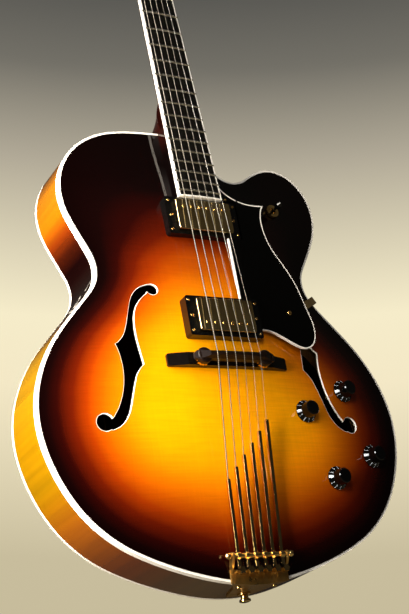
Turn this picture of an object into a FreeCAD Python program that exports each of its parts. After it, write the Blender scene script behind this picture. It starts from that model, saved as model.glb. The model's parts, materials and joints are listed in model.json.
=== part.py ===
import FreeCAD, Part
import math
import os

# Archtop guitar in millimetres. Z runs up along the strings, the front faces -Y and the treble side is +X.
# The origin is the seat of the strap button, on the centre line at the tail and half way through the rim.

V = FreeCAD.Vector

# Scale, strings and neck line
scale_length = 648.0
fret_count = 20
string_count = 6
neck_angle = 2.9
saddle_z = 230.0
string_rise = 41.2
fret_clear = 5.0
saddle_spread = 52.0
nut_spread = 35.0
string_radius = 0.60
string_radius_shares = (1.0, 0.8, 0.6, 0.4, 0.333, 0.267)
overrun = 1.0
seat_gap = 0.3
running_fit = 0.08

# Hollow body
lower_half_width = 216.0
joint_z = 521.0
joint_half_width = 28.0
body_depth = 67.0
top_arch = 17.0
back_arch = 14.0
plate_thickness = 4.5
recurve_inset = 14.0
arch_length_share = 2.0
arch_fullness_share = 0.65
arch_recurve_power = 3
arch_columns = 52
arch_rows = 60
arch_poles_across = 20
arch_poles_along = 23
relax_rounds = 160
relax_share = 1.9
outline_samples = 240
straight_limit = 0.000001
rim_thickness = 2.5
top_binding_height = 7.5
back_binding_height = 4.0
lining_width = 6.5
lining_height = 12.0
block_half_width = 36.0
neck_block_length = 62.0
tail_block_length = 24.0
bar_width = 8.0
bar_height = 12.0
bar_low_x = 52.0
bar_high_x = 46.0
bar_low_z = 80.0
bar_high_z = 440.0

# Body outline, as shares of the lower half width and of the joint height
tail_to_waist_shares = ((0.421, 0.0336), (0.757, 0.1075), (0.969, 0.248), (1.0, 0.330), (0.917, 0.459),
                        (0.690, 0.582), (0.626, 0.619), (0.609, 0.647))
bass_shoulder_shares = ((0.667, 0.722), (0.740, 0.812), (0.684, 0.907), (0.481, 0.977), (0.313, 0.994))
horn_shares = ((0.683, 0.721), (0.776, 0.810), (0.748, 0.891), (0.598, 0.941), (0.446, 0.929), (0.305, 0.897),
               (0.205, 0.909), (0.160, 0.942))

# Sound holes, as shares of the lower half width and of the joint height
sound_upper_eye_shares = (0.343, 0.600)
sound_lower_eye_shares = (0.686, 0.316)
sound_upper_eye_radius = 6.8
sound_lower_eye_radius = 9.6
sound_outer_upper_shares = ((0.355, 0.6125), (0.430, 0.599), (0.492, 0.543), (0.580, 0.479))
sound_outer_lower_shares = ((0.580, 0.479), (0.563, 0.424), (0.597, 0.359), (0.660, 0.318))
sound_inner_lower_shares = ((0.660, 0.299), (0.590, 0.315), (0.530, 0.369), (0.451, 0.434))
sound_inner_upper_shares = ((0.451, 0.434), (0.466, 0.499), (0.437, 0.563), (0.375, 0.590))

# Neck, board and headstock
nut_width = 43.0
nut_length = 5.0
nut_stand = 1.6
board_end_width = 53.7
board_overrun = 8.0
board_thickness = 6.0
board_radius = 305.0
board_binding = 1.5
fret_width = 2.6
fret_height = 1.1
neck_depth_nut = 21.0
neck_depth_heel = 24.0
heel_reach = 62.0
heel_reach_shares = (1.0, 0.645, 0.387, 0.29)
heel_half_width = 26.0
heel_width_shares = (1.0, 0.96, 0.77, 0.615)
heel_corner_shares = (0.86, 0.62)
extension_depth = 30.0
extension_setback = 3.0
truss_rod_width = 6.0
truss_rod_depth = 9.0
head_angle = 14.0
head_thickness = 14.0
head_length = 178.0
head_half_width = 42.0
head_shares = ((0.53, 0.07), (0.72, 0.13), (0.86, 0.20), (0.88, 0.36), (0.95, 0.66), (1.0, 0.88),
               (0.90, 0.955), (0.45, 0.985))
veneer_thickness = 1.5

# Tuning machines
tuner_first_z = 40.0
tuner_spacing = 40.0
tuner_inset = 12.0
tuner_fan = 1.0
post_radius = 3.0
post_stand = 13.0
post_hole_stand = 8.5
post_hole_radius = 1.0
bushing_radius = 5.0
bushing_flange_radius = 7.0
bushing_flange = 1.2
housing_width = 17.0
housing_length = 27.0
housing_depth = 12.0
shaft_radius = 2.0
shaft_reach = 8.0
button_neck = 7.0
button_length = 15.0
button_width = 17.0
button_thickness = 7.5
button_shares = ((0.35, 0.0), (0.86, 0.22), (1.0, 0.55), (0.80, 0.88), (0.35, 1.0))

# Pickups
bridge_pickup_from_saddle = 48.3
ring_length = 90.0
ring_width = 46.0
ring_corner = 3.0
neck_ring_rise = 21.5
bridge_ring_rise = 27.3
cover_length = 69.0
cover_width = 37.5
cover_corner = 3.0
cover_round = 1.2
cover_depth = 17.0
cover_wall = 0.6
cover_stand = 5.4
pole_spacing = 10.0
pole_row_offset = 9.5
pole_radius = 2.5
coil_plate = 1.6
coil_leg = 7.0
coil_ear = 6.0
coil_ear_width = 14.0

# Bridge
bridge_length = 146.0
bridge_width = 14.0
bridge_crest_rise = 24.0
bridge_tip_rise = 17.6
bridge_crest_half = 52.0
bridge_bevel = 1.2
bridge_post_half = 37.0
bridge_post_radius = 2.0
bridge_post_grip = 3.5
wheel_radius = 9.2
wheel_height = 3.0
wheel_lift = 2.4
wheel_groove = 0.6
wheel_teeth = 16
saddle_length = 97.0
saddle_width = 9.0
saddle_ridge = 3.0
saddle_end_rise = 33.0
saddle_boss_radius = 8.6
saddle_boss_rise = 36.0
saddle_boss_round = 2.5
saddle_travel = 2.0

# Tailpiece and strap button
rod_z = 26.0
rod_rise = 8.6
rod_radius = 2.5
rod_half_length = 33.0
rod_ball_radius = 3.6
finger_spacing = 10.2
finger_tip_spacing = 11.9
finger_tip_rise = 23.0
finger_first_tip = 74.0
finger_tip_step = 12.75
finger_width = 3.6
finger_height = 3.0
finger_barrel_radius = 3.8
finger_barrel_width = 4.6
finger_tail = 18.0
finger_tail_height = 3.0
finger_boss_radius = 2.9
fine_screw_back = 15.0
fine_screw_radius = 1.5
fine_head_radius = 4.2
fine_head_height = 3.5
fine_head_points = 6
fine_head_groove = 1.1
tail_plate_thickness = 2.0
tail_plate_half_width = 33.6
tail_plate_reach = 14.0
tail_lip_rise = 2.2
tail_plate_drop_half = 22.0
tail_plate_tip_half = 12.0
tail_plate_foot = 8.0
tail_ear_thickness = 2.6
tail_ear_radius = 3.6
button_flange_radius = 7.0
button_waist_radius = 4.0
button_head_radius = 6.0
button_flange_height = 1.6
button_waist_height = 5.0
button_head_height = 2.6
button_screw_radius = 2.0
button_screw_length = 22.0

# Finger rest and its bracket
guard_rise = 23.0
guard_thickness = 3.0
guard_gap = 0.8
guard_outer_shares = ((0.204, 0.825), (0.282, 0.816), (0.383, 0.8165))
guard_side_shares = ((0.383, 0.8165), (0.358, 0.794), (0.354, 0.755), (0.373, 0.720), (0.431, 0.674),
                     (0.493, 0.618), (0.522, 0.571), (0.544, 0.533), (0.540, 0.505), (0.516, 0.486),
                     (0.467, 0.476), (0.415, 0.481), (0.333, 0.499), (0.260, 0.511), (0.215, 0.512))
guard_string_gap = 1.0
guard_neck_gap = 0.2
bracket_width = 9.0
bracket_thickness = 1.6
bracket_under = 14.0
bracket_drop = 30.0
bracket_stand = 6.0
bracket_seat_shares = (0.640, 0.609)

# Controls
knob_places_shares = ((0.680, 0.391), (0.406, 0.340), (0.788, 0.249), (0.529, 0.1995))
knob_names = ("knob_neck_volume", "knob_bridge_volume", "knob_neck_tone", "knob_bridge_tone")
knob_skirt_radius = 12.6
knob_skirt_edge = 1.2
knob_skirt_height = 4.6
knob_waist_radius = 8.8
knob_top_radius = 8.2
knob_height = 14.0
knob_lift = 1.2
knob_crown = 0.8
pot_radius = 12.0
pot_depth = 10.0
pot_washer = 0.8
pot_bushing_radius = 4.7
pot_shaft_radius = 3.0
pot_shaft_reach = 9.0
switch_place_shares = (0.497, 0.826)
switch_bushing_radius = 6.0
switch_nut_radius = 8.0
switch_nut_height = 3.0
switch_nut_lift = 1.0
switch_body_radius = 10.0
switch_body_depth = 24.0
switch_washer = 1.8
switch_bore_radius = 4.0
switch_throat_radius = 2.8
lever_radius = 1.8
lever_ball_radius = 3.4
lever_pivot_depth = 2.0
lever_reach = 13.0
lever_tip_radius = 3.8
lever_tip_length = 11.0
jack_bore_radius = 3.2
jack_barrel_radius = 4.8
jack_depth = 20.0
jack_washer_radius = 8.0
jack_washer_height = 1.2
jack_nut_radius = 6.5
jack_nut_height = 2.4

# Planes and frames that follow from the sizes
front_y = -body_depth / 2
back_y = body_depth / 2
tilt = math.radians(neck_angle)
board_end = scale_length / 2 ** (fret_count / 12) - board_overrun
fret_plane_at_saddle = V(0, front_y - string_rise + fret_clear * math.cos(tilt),
                         saddle_z - fret_clear * math.sin(tilt))
neck_place = FreeCAD.Placement(fret_plane_at_saddle, FreeCAD.Rotation(V(1, 0, 0), -neck_angle))
head_place = neck_place.multiply(FreeCAD.Placement(V(0, board_thickness - veneer_thickness,
                                                     scale_length + nut_length),
                                                   FreeCAD.Rotation(V(1, 0, 0), -head_angle)))


# Small helpers
def box(x0, x1, y0, y1, z0, z1):
    """Box between two corners."""
    return Part.makeBox(x1 - x0, y1 - y0, z1 - z0, V(x0, y0, z0))


def bar(radius, start, end):
    """Round bar between two points."""
    return Part.makeCylinder(radius, (end - start).Length, start, end - start)


def placed(shape, place):
    """Copy of a shape, moved from a local frame into the guitar's frame."""
    moved = shape.copy()
    moved.Placement = place.multiply(moved.Placement)
    return moved


def along(place, direction):
    """Frame at a point whose Z axis is the given direction."""
    return FreeCAD.Placement(place, FreeCAD.Rotation(V(0, 0, 1), direction))


def body_point(shares, side=1):
    """Point of the body plan from its two shares."""
    return V(side * shares[0] * lower_half_width, 0, shares[1] * joint_z)


def body_points(table, side=1):
    """Points of the body plan from a table of shares."""
    return [body_point(shares, side) for shares in table]


def smooth_curve(points):
    """One smooth curve through the points."""
    curve = Part.BSplineCurve()
    curve.interpolate(points)
    return curve


def arc_from(start, way, end):
    """Arc that leaves the start in the given direction and reaches the end."""
    chord = end - start
    aside = way - chord * (way.dot(chord) / chord.dot(chord))
    if aside.Length < straight_limit:
        return Part.makeLine(start, end)
    half_turn = math.atan2(aside.Length, way.dot(chord) / chord.Length)
    crest = (start + end) / 2 + aside.normalize() * (chord.Length / 2 * math.tan(half_turn / 2))
    return Part.Arc(start, crest, end).toShape()


def arc_chain(points, ways):
    """Pairs of tangent arcs through the points, in the given directions."""
    edges = []
    for start, end, way, way_on in zip(points, points[1:], ways, ways[1:]):
        chord = end - start
        square = 2 * (1 - way.dot(way_on))
        slope = chord.dot(way + way_on)
        if square < straight_limit:
            reach = chord.dot(chord) / (2 * slope)
        else:
            reach = (math.sqrt(slope ** 2 + square * chord.dot(chord)) - slope) / square
        low = start + way * reach
        high = end - way_on * reach
        middle = (low + high) / 2
        edges.append(arc_from(start, way, middle))
        edges.append(arc_from(middle, (high - low).normalize(), end))
    return edges


def round_edges(points):
    """Tangent arcs through the points, following one smooth curve."""
    curve = smooth_curve(points)
    return arc_chain(points, [curve.tangent(knot)[0] for knot in curve.getKnots()])


def loop(edges):
    """Closed wire from edges in any direction."""
    return Part.Wire(Part.__sortEdges__(edges))


def prism(edges, y0, y1):
    """Plan outline swept from one depth to another."""
    face = Part.Face(loop(edges))
    face.translate(V(0, y0, 0))
    return face.extrude(V(0, y1 - y0, 0))


def polygon_prism(points, y0, y1):
    """Straight-sided plan outline swept from one depth to another."""
    return prism(Part.makePolygon(points + points[:1]).Edges, y0, y1)


def turned(profile):
    """Solid turned about Z from (radius, height) points."""
    wire = Part.makePolygon([V(r, 0, h) for r, h in profile] + [V(profile[0][0], 0, profile[0][1])])
    return Part.Face(wire).revolve(V(0, 0, 0), V(0, 0, 1), 360)


def rounded_box(length, width, y0, y1, z, corner):
    """Upright rectangle on the centre line with round corners."""
    body = box(-length / 2, length / 2, y0, y1, z - width / 2, z + width / 2)
    upright = [e for e in body.Edges if abs(e.tangentAt(e.FirstParameter).y) > 0.5]
    return body.makeFillet(corner, upright)


def star_prism(place, outer, groove, points, y1):
    """Toothed disc round an axis along Y, from the place to the given depth."""
    ring = []
    for k in range(2 * points):
        turn = math.pi * k / points
        reach = outer - groove * (k % 2)
        ring.append(V(place.x + reach * math.cos(turn), 0, place.z + reach * math.sin(turn)))
    return polygon_prism(ring, place.y, y1)


def group(solids):
    """Separate solids kept in one node."""
    return Part.makeCompound(solids)


# Body outline
def outline_curve():
    """Outer edge from the bass side of the neck joint round the tail to the treble side."""
    bass = [V(-joint_half_width, 0, joint_z)] + body_points(bass_shoulder_shares[::-1], -1)
    lower_bass = body_points(tail_to_waist_shares[::-1], -1)
    lower_treble = body_points(tail_to_waist_shares)
    treble = body_points(horn_shares) + [V(joint_half_width, 0, joint_z)]
    return smooth_curve(bass + lower_bass + [V(0, 0, 0)] + lower_treble + treble)


edge_curve = outline_curve()
edge_ways = [edge_curve.tangent(knot)[0] for knot in edge_curve.getKnots()]


def outline_points(inset):
    """Points of the outline moved inwards, square to the edge."""
    places = [edge_curve.value(knot) for knot in edge_curve.getKnots()]
    points = [place + V(-way.z, 0, way.x) * inset for place, way in zip(places, edge_ways)]
    points[0] = V(-joint_half_width, 0, joint_z - inset)
    points[-1] = V(joint_half_width - inset, 0, joint_z - inset)
    return points


def outline_edges(inset):
    """Arcs of the outline moved inwards, closed straight across the neck joint."""
    points = outline_points(inset)
    return arc_chain(points, edge_ways) + [Part.makeLine(points[-1], points[0])]


def outline_prism(inset, y0, y1):
    """Solid plan of the body, moved inwards."""
    return prism(outline_edges(inset), y0, y1)


def outline_ring(outer, inner, y0, y1):
    """Band along the whole edge between two insets."""
    wires = [loop(outline_edges(outer)), loop(outline_edges(inner))]
    face = Part.makeFace(wires, "Part::FaceMakerBullseye")
    face.translate(V(0, y0, 0))
    return face.extrude(V(0, y1 - y0, 0)).Solids[0]


# Carved arch: a stretched skin over the recurve line, eased to lie flat along the edge
def inside(x, z, ring):
    """Whether a plan point lies inside the ring."""
    hit = False
    for a, b in zip(ring, ring[1:] + ring[:1]):
        if (a.z > z) != (b.z > z) and x < a.x + (b.x - a.x) * (z - a.z) / (b.z - a.z):
            hit = not hit
    return hit


arch_step_x = 2 * lower_half_width / (arch_columns - 2)
arch_step_z = joint_z / (arch_rows - 2)


def arch_x(i):
    """Plan place of an arch column."""
    return -lower_half_width + (i - 1) * arch_step_x


def arch_z(j):
    """Plan place of an arch row."""
    return (j - 1) * arch_step_z


def arch_shares():
    """Height of the arch on its grid, as shares of the full height."""
    ring = loop(outline_edges(recurve_inset)).discretize(Number=outline_samples)
    free = [(i, j) for i in range(arch_columns + 1) for j in range(arch_rows + 1)
            if inside(arch_x(i), arch_z(j), ring)]
    skin = [[0.0] * (arch_rows + 1) for _ in range(arch_columns + 1)]
    weight_x = 1 / arch_step_x ** 2
    weight_z = arch_length_share / arch_step_z ** 2
    for _ in range(relax_rounds):
        for i, j in free:
            pull = weight_x * (skin[i - 1][j] + skin[i + 1][j]) + weight_z * (skin[i][j - 1] + skin[i][j + 1])
            target = (pull + weight_x) / (2 * (weight_x + weight_z))
            skin[i][j] += relax_share * (target - skin[i][j])
    peak = max(max(column) for column in skin)
    even = [[(value / peak) ** arch_fullness_share for value in column] for column in skin]
    return [[share * (1 - (1 - share) ** arch_recurve_power) for share in column] for column in even]


arch_grid = arch_shares()


def arch_share_at(x, z):
    """Arch height share at any plan point, between the grid's places."""
    u = (x + lower_half_width) / arch_step_x + 1
    w = z / arch_step_z + 1
    i = min(int(u), arch_columns - 1)
    j = min(int(w), arch_rows - 1)
    low = arch_grid[i][j] * (1 - u + i) + arch_grid[i + 1][j] * (u - i)
    high = arch_grid[i][j + 1] * (1 - u + i) + arch_grid[i + 1][j + 1] * (u - i)
    return low * (1 - w + j) + high * (w - j)


def pole_share(k, count):
    """Share of an even cubic run at which one of its poles lies."""
    last = count - 3
    return sum(min(max(k - step, 0), last) for step in range(3)) / (3 * last)


def arched_surface(edge_y, rise):
    """Arched surface over the whole plan, rising by the given height from its edge plane."""
    poles = []
    for i in range(arch_poles_across):
        x = arch_x(arch_columns * pole_share(i, arch_poles_across))
        places = [arch_z(arch_rows * pole_share(j, arch_poles_along)) for j in range(arch_poles_along)]
        poles.append([V(x, edge_y + rise * arch_share_at(x, z), z) for z in places])
    knots = [list(range(count - 2)) for count in (arch_poles_across, arch_poles_along)]
    mults = [[4] + [1] * (len(run) - 2) + [4] for run in knots]
    surface = Part.BSplineSurface()
    surface.buildFromPolesMultsKnots(poles, mults[0], mults[1], knots[0], knots[1], False, False, 3, 3)
    return surface


top_surface = arched_surface(front_y, -top_arch)


def arch_place(x, z):
    """Parameters of the carved top at a plan point."""
    across = (x - arch_x(0)) / (arch_x(arch_columns) - arch_x(0))
    along_z = (z - arch_z(0)) / (arch_z(arch_rows) - arch_z(0))
    return across * (arch_poles_across - 3), along_z * (arch_poles_along - 3)


def arch_normal(x, z):
    """Outward direction of the carved top at a plan point."""
    way = top_surface.normal(*arch_place(x, z))
    return way if way.y < 0 else -way


def arch_point(x, z):
    """Point on the carved top."""
    return top_surface.value(*arch_place(x, z))


def arched_plate(surface, thickness, plan, cutters):
    """Part of an arched surface inside a plan, with openings, made as thick as the plate."""
    sheet = surface.toShape().common(plan)
    if cutters:
        sheet = sheet.cut(cutters)
    return sheet.Faces[0].extrude(V(0, thickness, 0))


plan_block = outline_prism(0, front_y - top_arch - overrun, back_y + overrun)
arch_core = arched_plate(top_surface, body_depth / 2, plan_block, [])


# Places shared by several pieces
def bridge_pickup_z():
    """Height of the bridge pickup's centre."""
    return saddle_z + bridge_pickup_from_saddle


def neck_pickup_z():
    """Height of the neck pickup's centre, just under the end of the board."""
    end = neck_place.multVec(V(0, board_thickness, board_end))
    return end.z - seat_gap - ring_width / 2


pickup_places = ((neck_pickup_z(), neck_ring_rise, 1), (bridge_pickup_z(), bridge_ring_rise, -1))
knob_places = body_points(knob_places_shares)
switch_place = body_point(switch_place_shares)


def spread(width, i):
    """Place of one string across an even spread."""
    return width * (i / (string_count - 1) - 1 / 2)


def gauge(i):
    """Radius of one string."""
    return string_radius * string_radius_shares[i]


def board_width(s):
    """Width of the board at a distance from the saddle."""
    return nut_width + (board_end_width - nut_width) * (scale_length - s) / (scale_length - board_end)


def string_saddle_point(i):
    """Centre of a string over the saddle, on a crown of the board's radius."""
    x = spread(saddle_spread, i)
    crown = ((saddle_spread / 2) ** 2 - x ** 2) / (2 * board_radius)
    return V(x, front_y - string_rise - crown, saddle_z)


def string_nut_point(i):
    """Point just behind the nut where a string bends down to its post."""
    x = spread(nut_spread, i)
    drop = x ** 2 / (2 * board_radius)
    return neck_place.multVec(V(x, drop - nut_stand, scale_length + nut_length + overrun))


def finger_rod_point(i):
    """Middle of a finger's barrel on the rod."""
    return V(spread(finger_spacing * (string_count - 1), i), front_y - rod_rise, rod_z)


def finger_tip_point(i):
    """End of a finger, where its string leaves."""
    reach = finger_first_tip + finger_tip_step * i
    return V(spread(finger_tip_spacing * (string_count - 1), i), front_y - finger_tip_rise, rod_z + reach)


def tuner_place(i):
    """Foot of a tuner post on the headstock's face, three on each side."""
    half = string_count // 2
    rank = i if i < half else string_count - 1 - i
    side = -1 if i < half else 1
    z = tuner_first_z + tuner_spacing * rank
    x = side * (head_half_width - tuner_inset + tuner_fan * (rank - 1))
    return V(x, 0, z), side


# Wooden body
def sound_hole(side):
    """Cutter for one sound hole: two eyes joined by a waisted stem with two nicks."""
    tables = (sound_outer_upper_shares, sound_outer_lower_shares, sound_inner_lower_shares,
              sound_inner_upper_shares)
    runs = [body_points(table, side) for table in tables]
    edges = [edge for run in runs for edge in round_edges(run)]
    edges += [Part.makeLine(runs[1][-1], runs[2][0]), Part.makeLine(runs[3][-1], runs[0][0])]
    y0 = front_y - top_arch - overrun
    y1 = front_y + plate_thickness + overrun
    cutter = prism(edges, y0, y1)
    for shares, radius in ((sound_upper_eye_shares, sound_upper_eye_radius),
                           (sound_lower_eye_shares, sound_lower_eye_radius)):
        eye = body_point(shares, side)
        cutter = cutter.fuse(bar(radius, V(eye.x, y0, eye.z), V(eye.x, y1, eye.z)))
    return cutter


def top_plate():
    """Carved top with sound holes, pickup openings and control holes."""
    cutters = [sound_hole(-1), sound_hole(1)]
    opening = cover_length + 2 * (coil_ear + seat_gap)
    for z, _, _ in pickup_places:
        cutters.append(box(-opening / 2, opening / 2, front_y - top_arch - overrun, front_y + plate_thickness,
                           z - cover_width / 2 - seat_gap, z + cover_width / 2 + seat_gap))
    plan = outline_prism(rim_thickness, front_y - top_arch - overrun, front_y + overrun)
    plate = arched_plate(top_surface, plate_thickness, plan, cutters)
    holes = []
    bushings = [(place, pot_bushing_radius) for place in knob_places]
    for place, radius in bushings + [(switch_place, switch_bushing_radius)]:
        foot = arch_point(place.x, place.z)
        way = arch_normal(place.x, place.z)
        holes.append(bar(radius, foot - way * 2 * plate_thickness, foot + way * plate_thickness))
    return plate.cut(holes)


def back_plate():
    """Carved back."""
    plan = outline_prism(rim_thickness, back_y - overrun, back_y + back_arch + overrun)
    return arched_plate(arched_surface(back_y, back_arch), -plate_thickness, plan, [])


def rim_side(side):
    """One bent side, from the tail round to the middle of the neck joint."""
    tail = len(bass_shoulder_shares) + len(tail_to_waist_shares) + 1
    edges = []
    feet = []
    heads = []
    for inset in (0, rim_thickness):
        points = outline_points(inset)
        arcs = arc_chain(points, edge_ways)
        middle = V(0, 0, joint_z - inset)
        edges += arcs[:2 * tail] if side < 0 else arcs[2 * tail:]
        edges.append(Part.makeLine(middle, points[0] if side < 0 else points[-1]))
        feet.append(points[tail])
        heads.append(middle)
    edges += [Part.makeLine(*feet), Part.makeLine(*heads)]
    return prism(edges, front_y + top_binding_height, back_y - back_binding_height)


def rim():
    """Two bent sides that meet at the tail and the neck, with holes for the strap screw and the jack."""
    reach = V(jack_depth, 0, 0)
    holes = [bar(button_screw_radius, V(0, 0, -overrun), V(0, 0, rim_thickness + overrun)),
             bar(jack_barrel_radius, jack_seat() - reach, jack_seat() + reach)]
    return group([rim_side(side).cut(holes).Solids[0] for side in (-1, 1)])


def jack_seat():
    """Place of the output jack, at the widest point of the treble rim."""
    widest = max(tail_to_waist_shares)
    return body_point(widest)


def block_room(y0, y1):
    """Space of the two blocks between two depths."""
    half = block_half_width
    neck = box(-half, half, y0, y1, joint_z - rim_thickness - neck_block_length, joint_z)
    tail = box(-half, half, y0, y1, -overrun, rim_thickness + tail_block_length)
    return neck, tail


def linings():
    """Glue strips inside the rim, under the top and over the back, stopped at the blocks."""
    top_y = front_y + plate_thickness
    low_y = back_y - plate_thickness
    strips = []
    for y0, y1 in ((top_y, top_y + lining_height), (low_y - lining_height, low_y)):
        ring = outline_ring(rim_thickness, rim_thickness + lining_width, y0, y1)
        strips.append(ring.cut(list(block_room(y0 - overrun, y1 + overrun))))
    return group([solid for strip in strips for solid in strip.Solids])


def body_blocks():
    """Neck block and tail block."""
    y0 = front_y + plate_thickness
    y1 = back_y - plate_thickness
    inner = outline_prism(rim_thickness, y0, y1)
    neck, tail = block_room(y0, y1)
    screw = bar(button_screw_radius, V(0, 0, 0), V(0, 0, button_screw_length))
    return group([inner.common(neck), inner.common(tail).cut(screw)])


def tone_bars():
    """Two long bars glued under the arch, running beside the pickups."""
    under = arched_surface(front_y + plate_thickness, -top_arch)
    bars = []
    for side in (-1, 1):
        run = [V(side * bar_low_x, 0, bar_low_z), V(side * (bar_low_x + bar_width), 0, bar_low_z),
               V(side * (bar_high_x + bar_width), 0, bar_high_z), V(side * bar_high_x, 0, bar_high_z)]
        bars.append(arched_plate(under, bar_height, polygon_prism(run, front_y - top_arch, back_y), []))
    return group(bars)


def body_bindings():
    """Edge bindings of the top and the back."""
    top = outline_ring(0, rim_thickness, front_y, front_y + top_binding_height)
    back = outline_ring(0, rim_thickness, back_y - back_binding_height, back_y)
    return group([top, back])


# Neck
def board_plan(trim, end):
    """Tapered plan of the board in the neck frame, with its crowned face."""
    low = board_width(end) / 2 - trim
    high = nut_width / 2 - trim
    run = [V(-low, 0, end), V(low, 0, end), V(high, 0, scale_length), V(-high, 0, scale_length)]
    slab = polygon_prism(run, -board_thickness, board_thickness)
    crown = bar(board_radius, V(0, board_radius, 0), V(0, board_radius, scale_length))
    return slab.common(crown)


def fretboard():
    """Board inside its bindings."""
    return placed(board_plan(board_binding, board_end + board_binding), neck_place)


def fretboard_binding():
    """Strips along both sides and the end of the board."""
    inner = board_plan(board_binding, board_end + board_binding)
    return placed(board_plan(0, board_end).cut(inner), neck_place)


def frets():
    """Flat-topped wires bent to the board's radius."""
    wires = []
    for n in range(1, fret_count + 1):
        s = scale_length / 2 ** (n / 12)
        turn = math.degrees(board_width(s) / board_radius)
        low = V(0, 0, s - fret_width / 2)
        high = V(0, 0, s + fret_width / 2)
        run = [low, V(0, -fret_height, s - fret_width / 4), V(0, -fret_height, s + fret_width / 4), high]
        face = Part.Face(Part.makePolygon(run + run[:1]))
        face.rotate(V(0, board_radius, 0), V(0, 0, 1), -turn / 2)
        wires.append(placed(face.revolve(V(0, board_radius, 0), V(0, 0, 1), turn), neck_place))
    return group(wires)


def neck_section(s, width, depth):
    """Rounded section of the neck under the board."""
    left = V(-width / 2, board_thickness, s)
    right = V(width / 2, board_thickness, s)
    back = Part.Arc(left, V(0, depth, s), right).toShape()
    return Part.Wire([back, Part.makeLine(right, left)])


def heel_section(y, half, reach):
    """Bowed section of the heel against the end of the body."""
    out, up = heel_corner_shares
    points = [V(-half, y, joint_z), V(-half * out, y, joint_z + reach * up), V(0, y, joint_z + reach),
              V(half * out, y, joint_z + reach * up), V(half, y, joint_z)]
    return Part.Wire([smooth_curve(points).toShape(), Part.makeLine(points[-1], points[0])])


def head_plan(y0, y1):
    """Plain tapered headstock outline in its own frame."""
    side = [V(a * head_half_width, 0, b * head_length) for a, b in head_shares]
    right = [V(nut_width / 2, 0, 0)] + side
    left = [V(-p.x, 0, p.z) for p in right[::-1]]
    crest = Part.Arc(right[-1], V(0, 0, head_length), left[0]).toShape()
    sides = round_edges(right) + round_edges(left)
    return prism(sides + [crest, Part.makeLine(left[-1], right[0])], y0, y1)


def neck():
    """Shaft, heel, extension over the top and headstock in one piece of wood."""
    heel_s = (joint_z - saddle_z) / math.cos(tilt)
    top_s = scale_length + nut_length
    shaft = Part.makeLoft([neck_section(heel_s, board_width(heel_s), neck_depth_heel),
                           neck_section(top_s, nut_width, neck_depth_nut)], True, True)
    low = board_width(board_end) / 2
    high = board_width(heel_s) / 2
    end = board_end + extension_setback
    run = [V(-low, 0, end), V(low, 0, end), V(high, 0, heel_s + overrun), V(-high, 0, heel_s + overrun)]
    extension = placed(polygon_prism(run, board_thickness, board_thickness + extension_depth), neck_place)
    depths = (neck_place.multVec(V(0, board_thickness, heel_s)).y + board_thickness, front_y, 0, back_y)
    heel = Part.makeLoft([heel_section(y, heel_half_width * wide, heel_reach * reach) for y, wide, reach
                          in zip(depths, heel_width_shares, heel_reach_shares)], True, False)
    head = placed(head_plan(veneer_thickness, veneer_thickness + head_thickness), head_place)
    wood = placed(shaft, neck_place).fuse([extension, heel, head])
    wood = wood.cut([arch_core, plan_block.common(box(-lower_half_width, lower_half_width, front_y, back_y,
                                                      0, joint_z))])
    channel = placed(truss_channel(), neck_place)
    posts = [placed(bar(bushing_radius, tuner_place(i)[0], tuner_place(i)[0] + V(0, 2 * head_thickness, 0)),
                    head_place) for i in range(string_count)]
    veneer = placed(head_plan(0, veneer_thickness), head_place)
    return wood.cut([channel, nut_room(), veneer] + posts).removeSplitter()


def truss_channel():
    """Slot for the rod under the board, in the neck frame."""
    foot = (joint_z - saddle_z) / math.cos(tilt)
    return box(-truss_rod_width / 2, truss_rod_width / 2, board_thickness, board_thickness + truss_rod_depth,
               foot, scale_length)


def truss_rod():
    """Adjusting rod in its slot."""
    return placed(truss_channel(), neck_place)


def nut_room():
    """Square block at the head of the board, before the nut is crowned and slotted."""
    return placed(box(-nut_width / 2, nut_width / 2, -nut_stand - overrun, board_thickness, scale_length,
                      scale_length + nut_length), neck_place)


def nut():
    """Slotted nut at the head of the board."""
    crown = bar(board_radius + nut_stand, V(0, board_radius, 0), V(0, board_radius, 2 * scale_length))
    block = nut_room().common(placed(crown, neck_place))
    slots = [bar(gauge(i) + running_fit, string_saddle_point(i), string_nut_point(i))
             for i in range(string_count)]
    return block.cut(slots)


def headstock_veneer():
    """Thin face of the headstock."""
    holes = [bar(bushing_radius, tuner_place(i)[0] - V(0, overrun, 0), tuner_place(i)[0]
                 + V(0, head_thickness, 0)) for i in range(string_count)]
    return placed(head_plan(0, veneer_thickness).cut(holes), head_place).cut(nut_room())


# Tuning machines
def tuner_housings():
    """Six closed gear housings behind the headstock and six bushings in its holes."""
    pieces = []
    back = veneer_thickness + head_thickness
    for i in range(string_count):
        foot, _ = tuner_place(i)
        case = box(-housing_width / 2, housing_width / 2, back, back + housing_depth, -housing_length / 2,
                   housing_length / 2)
        case.translate(V(foot.x, 0, foot.z))
        post_bore = bar(post_radius + running_fit, foot, foot + V(0, back + housing_depth / 2, 0))
        shaft_bore = bar(shaft_radius + running_fit, shaft_line(i, 0), shaft_line(i, housing_width))
        sleeve = bar(bushing_radius, foot, foot + V(0, back, 0))
        flange = bar(bushing_flange_radius, foot - V(0, bushing_flange, 0), foot)
        bore = bar(post_radius + running_fit, foot - V(0, back, 0), foot + V(0, back + overrun, 0))
        pieces.append(placed(case.cut([post_bore, shaft_bore]), head_place))
        pieces.append(placed(sleeve.fuse(flange).cut(bore), head_place))
    return group(pieces)


def shaft_line(i, reach):
    """Point on a button's shaft, a distance out from the post's line."""
    foot, side = tuner_place(i)
    depth = veneer_thickness + head_thickness + housing_depth * 3 / 4
    return V(foot.x + side * reach, depth, foot.z + housing_length / 4)


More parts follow.
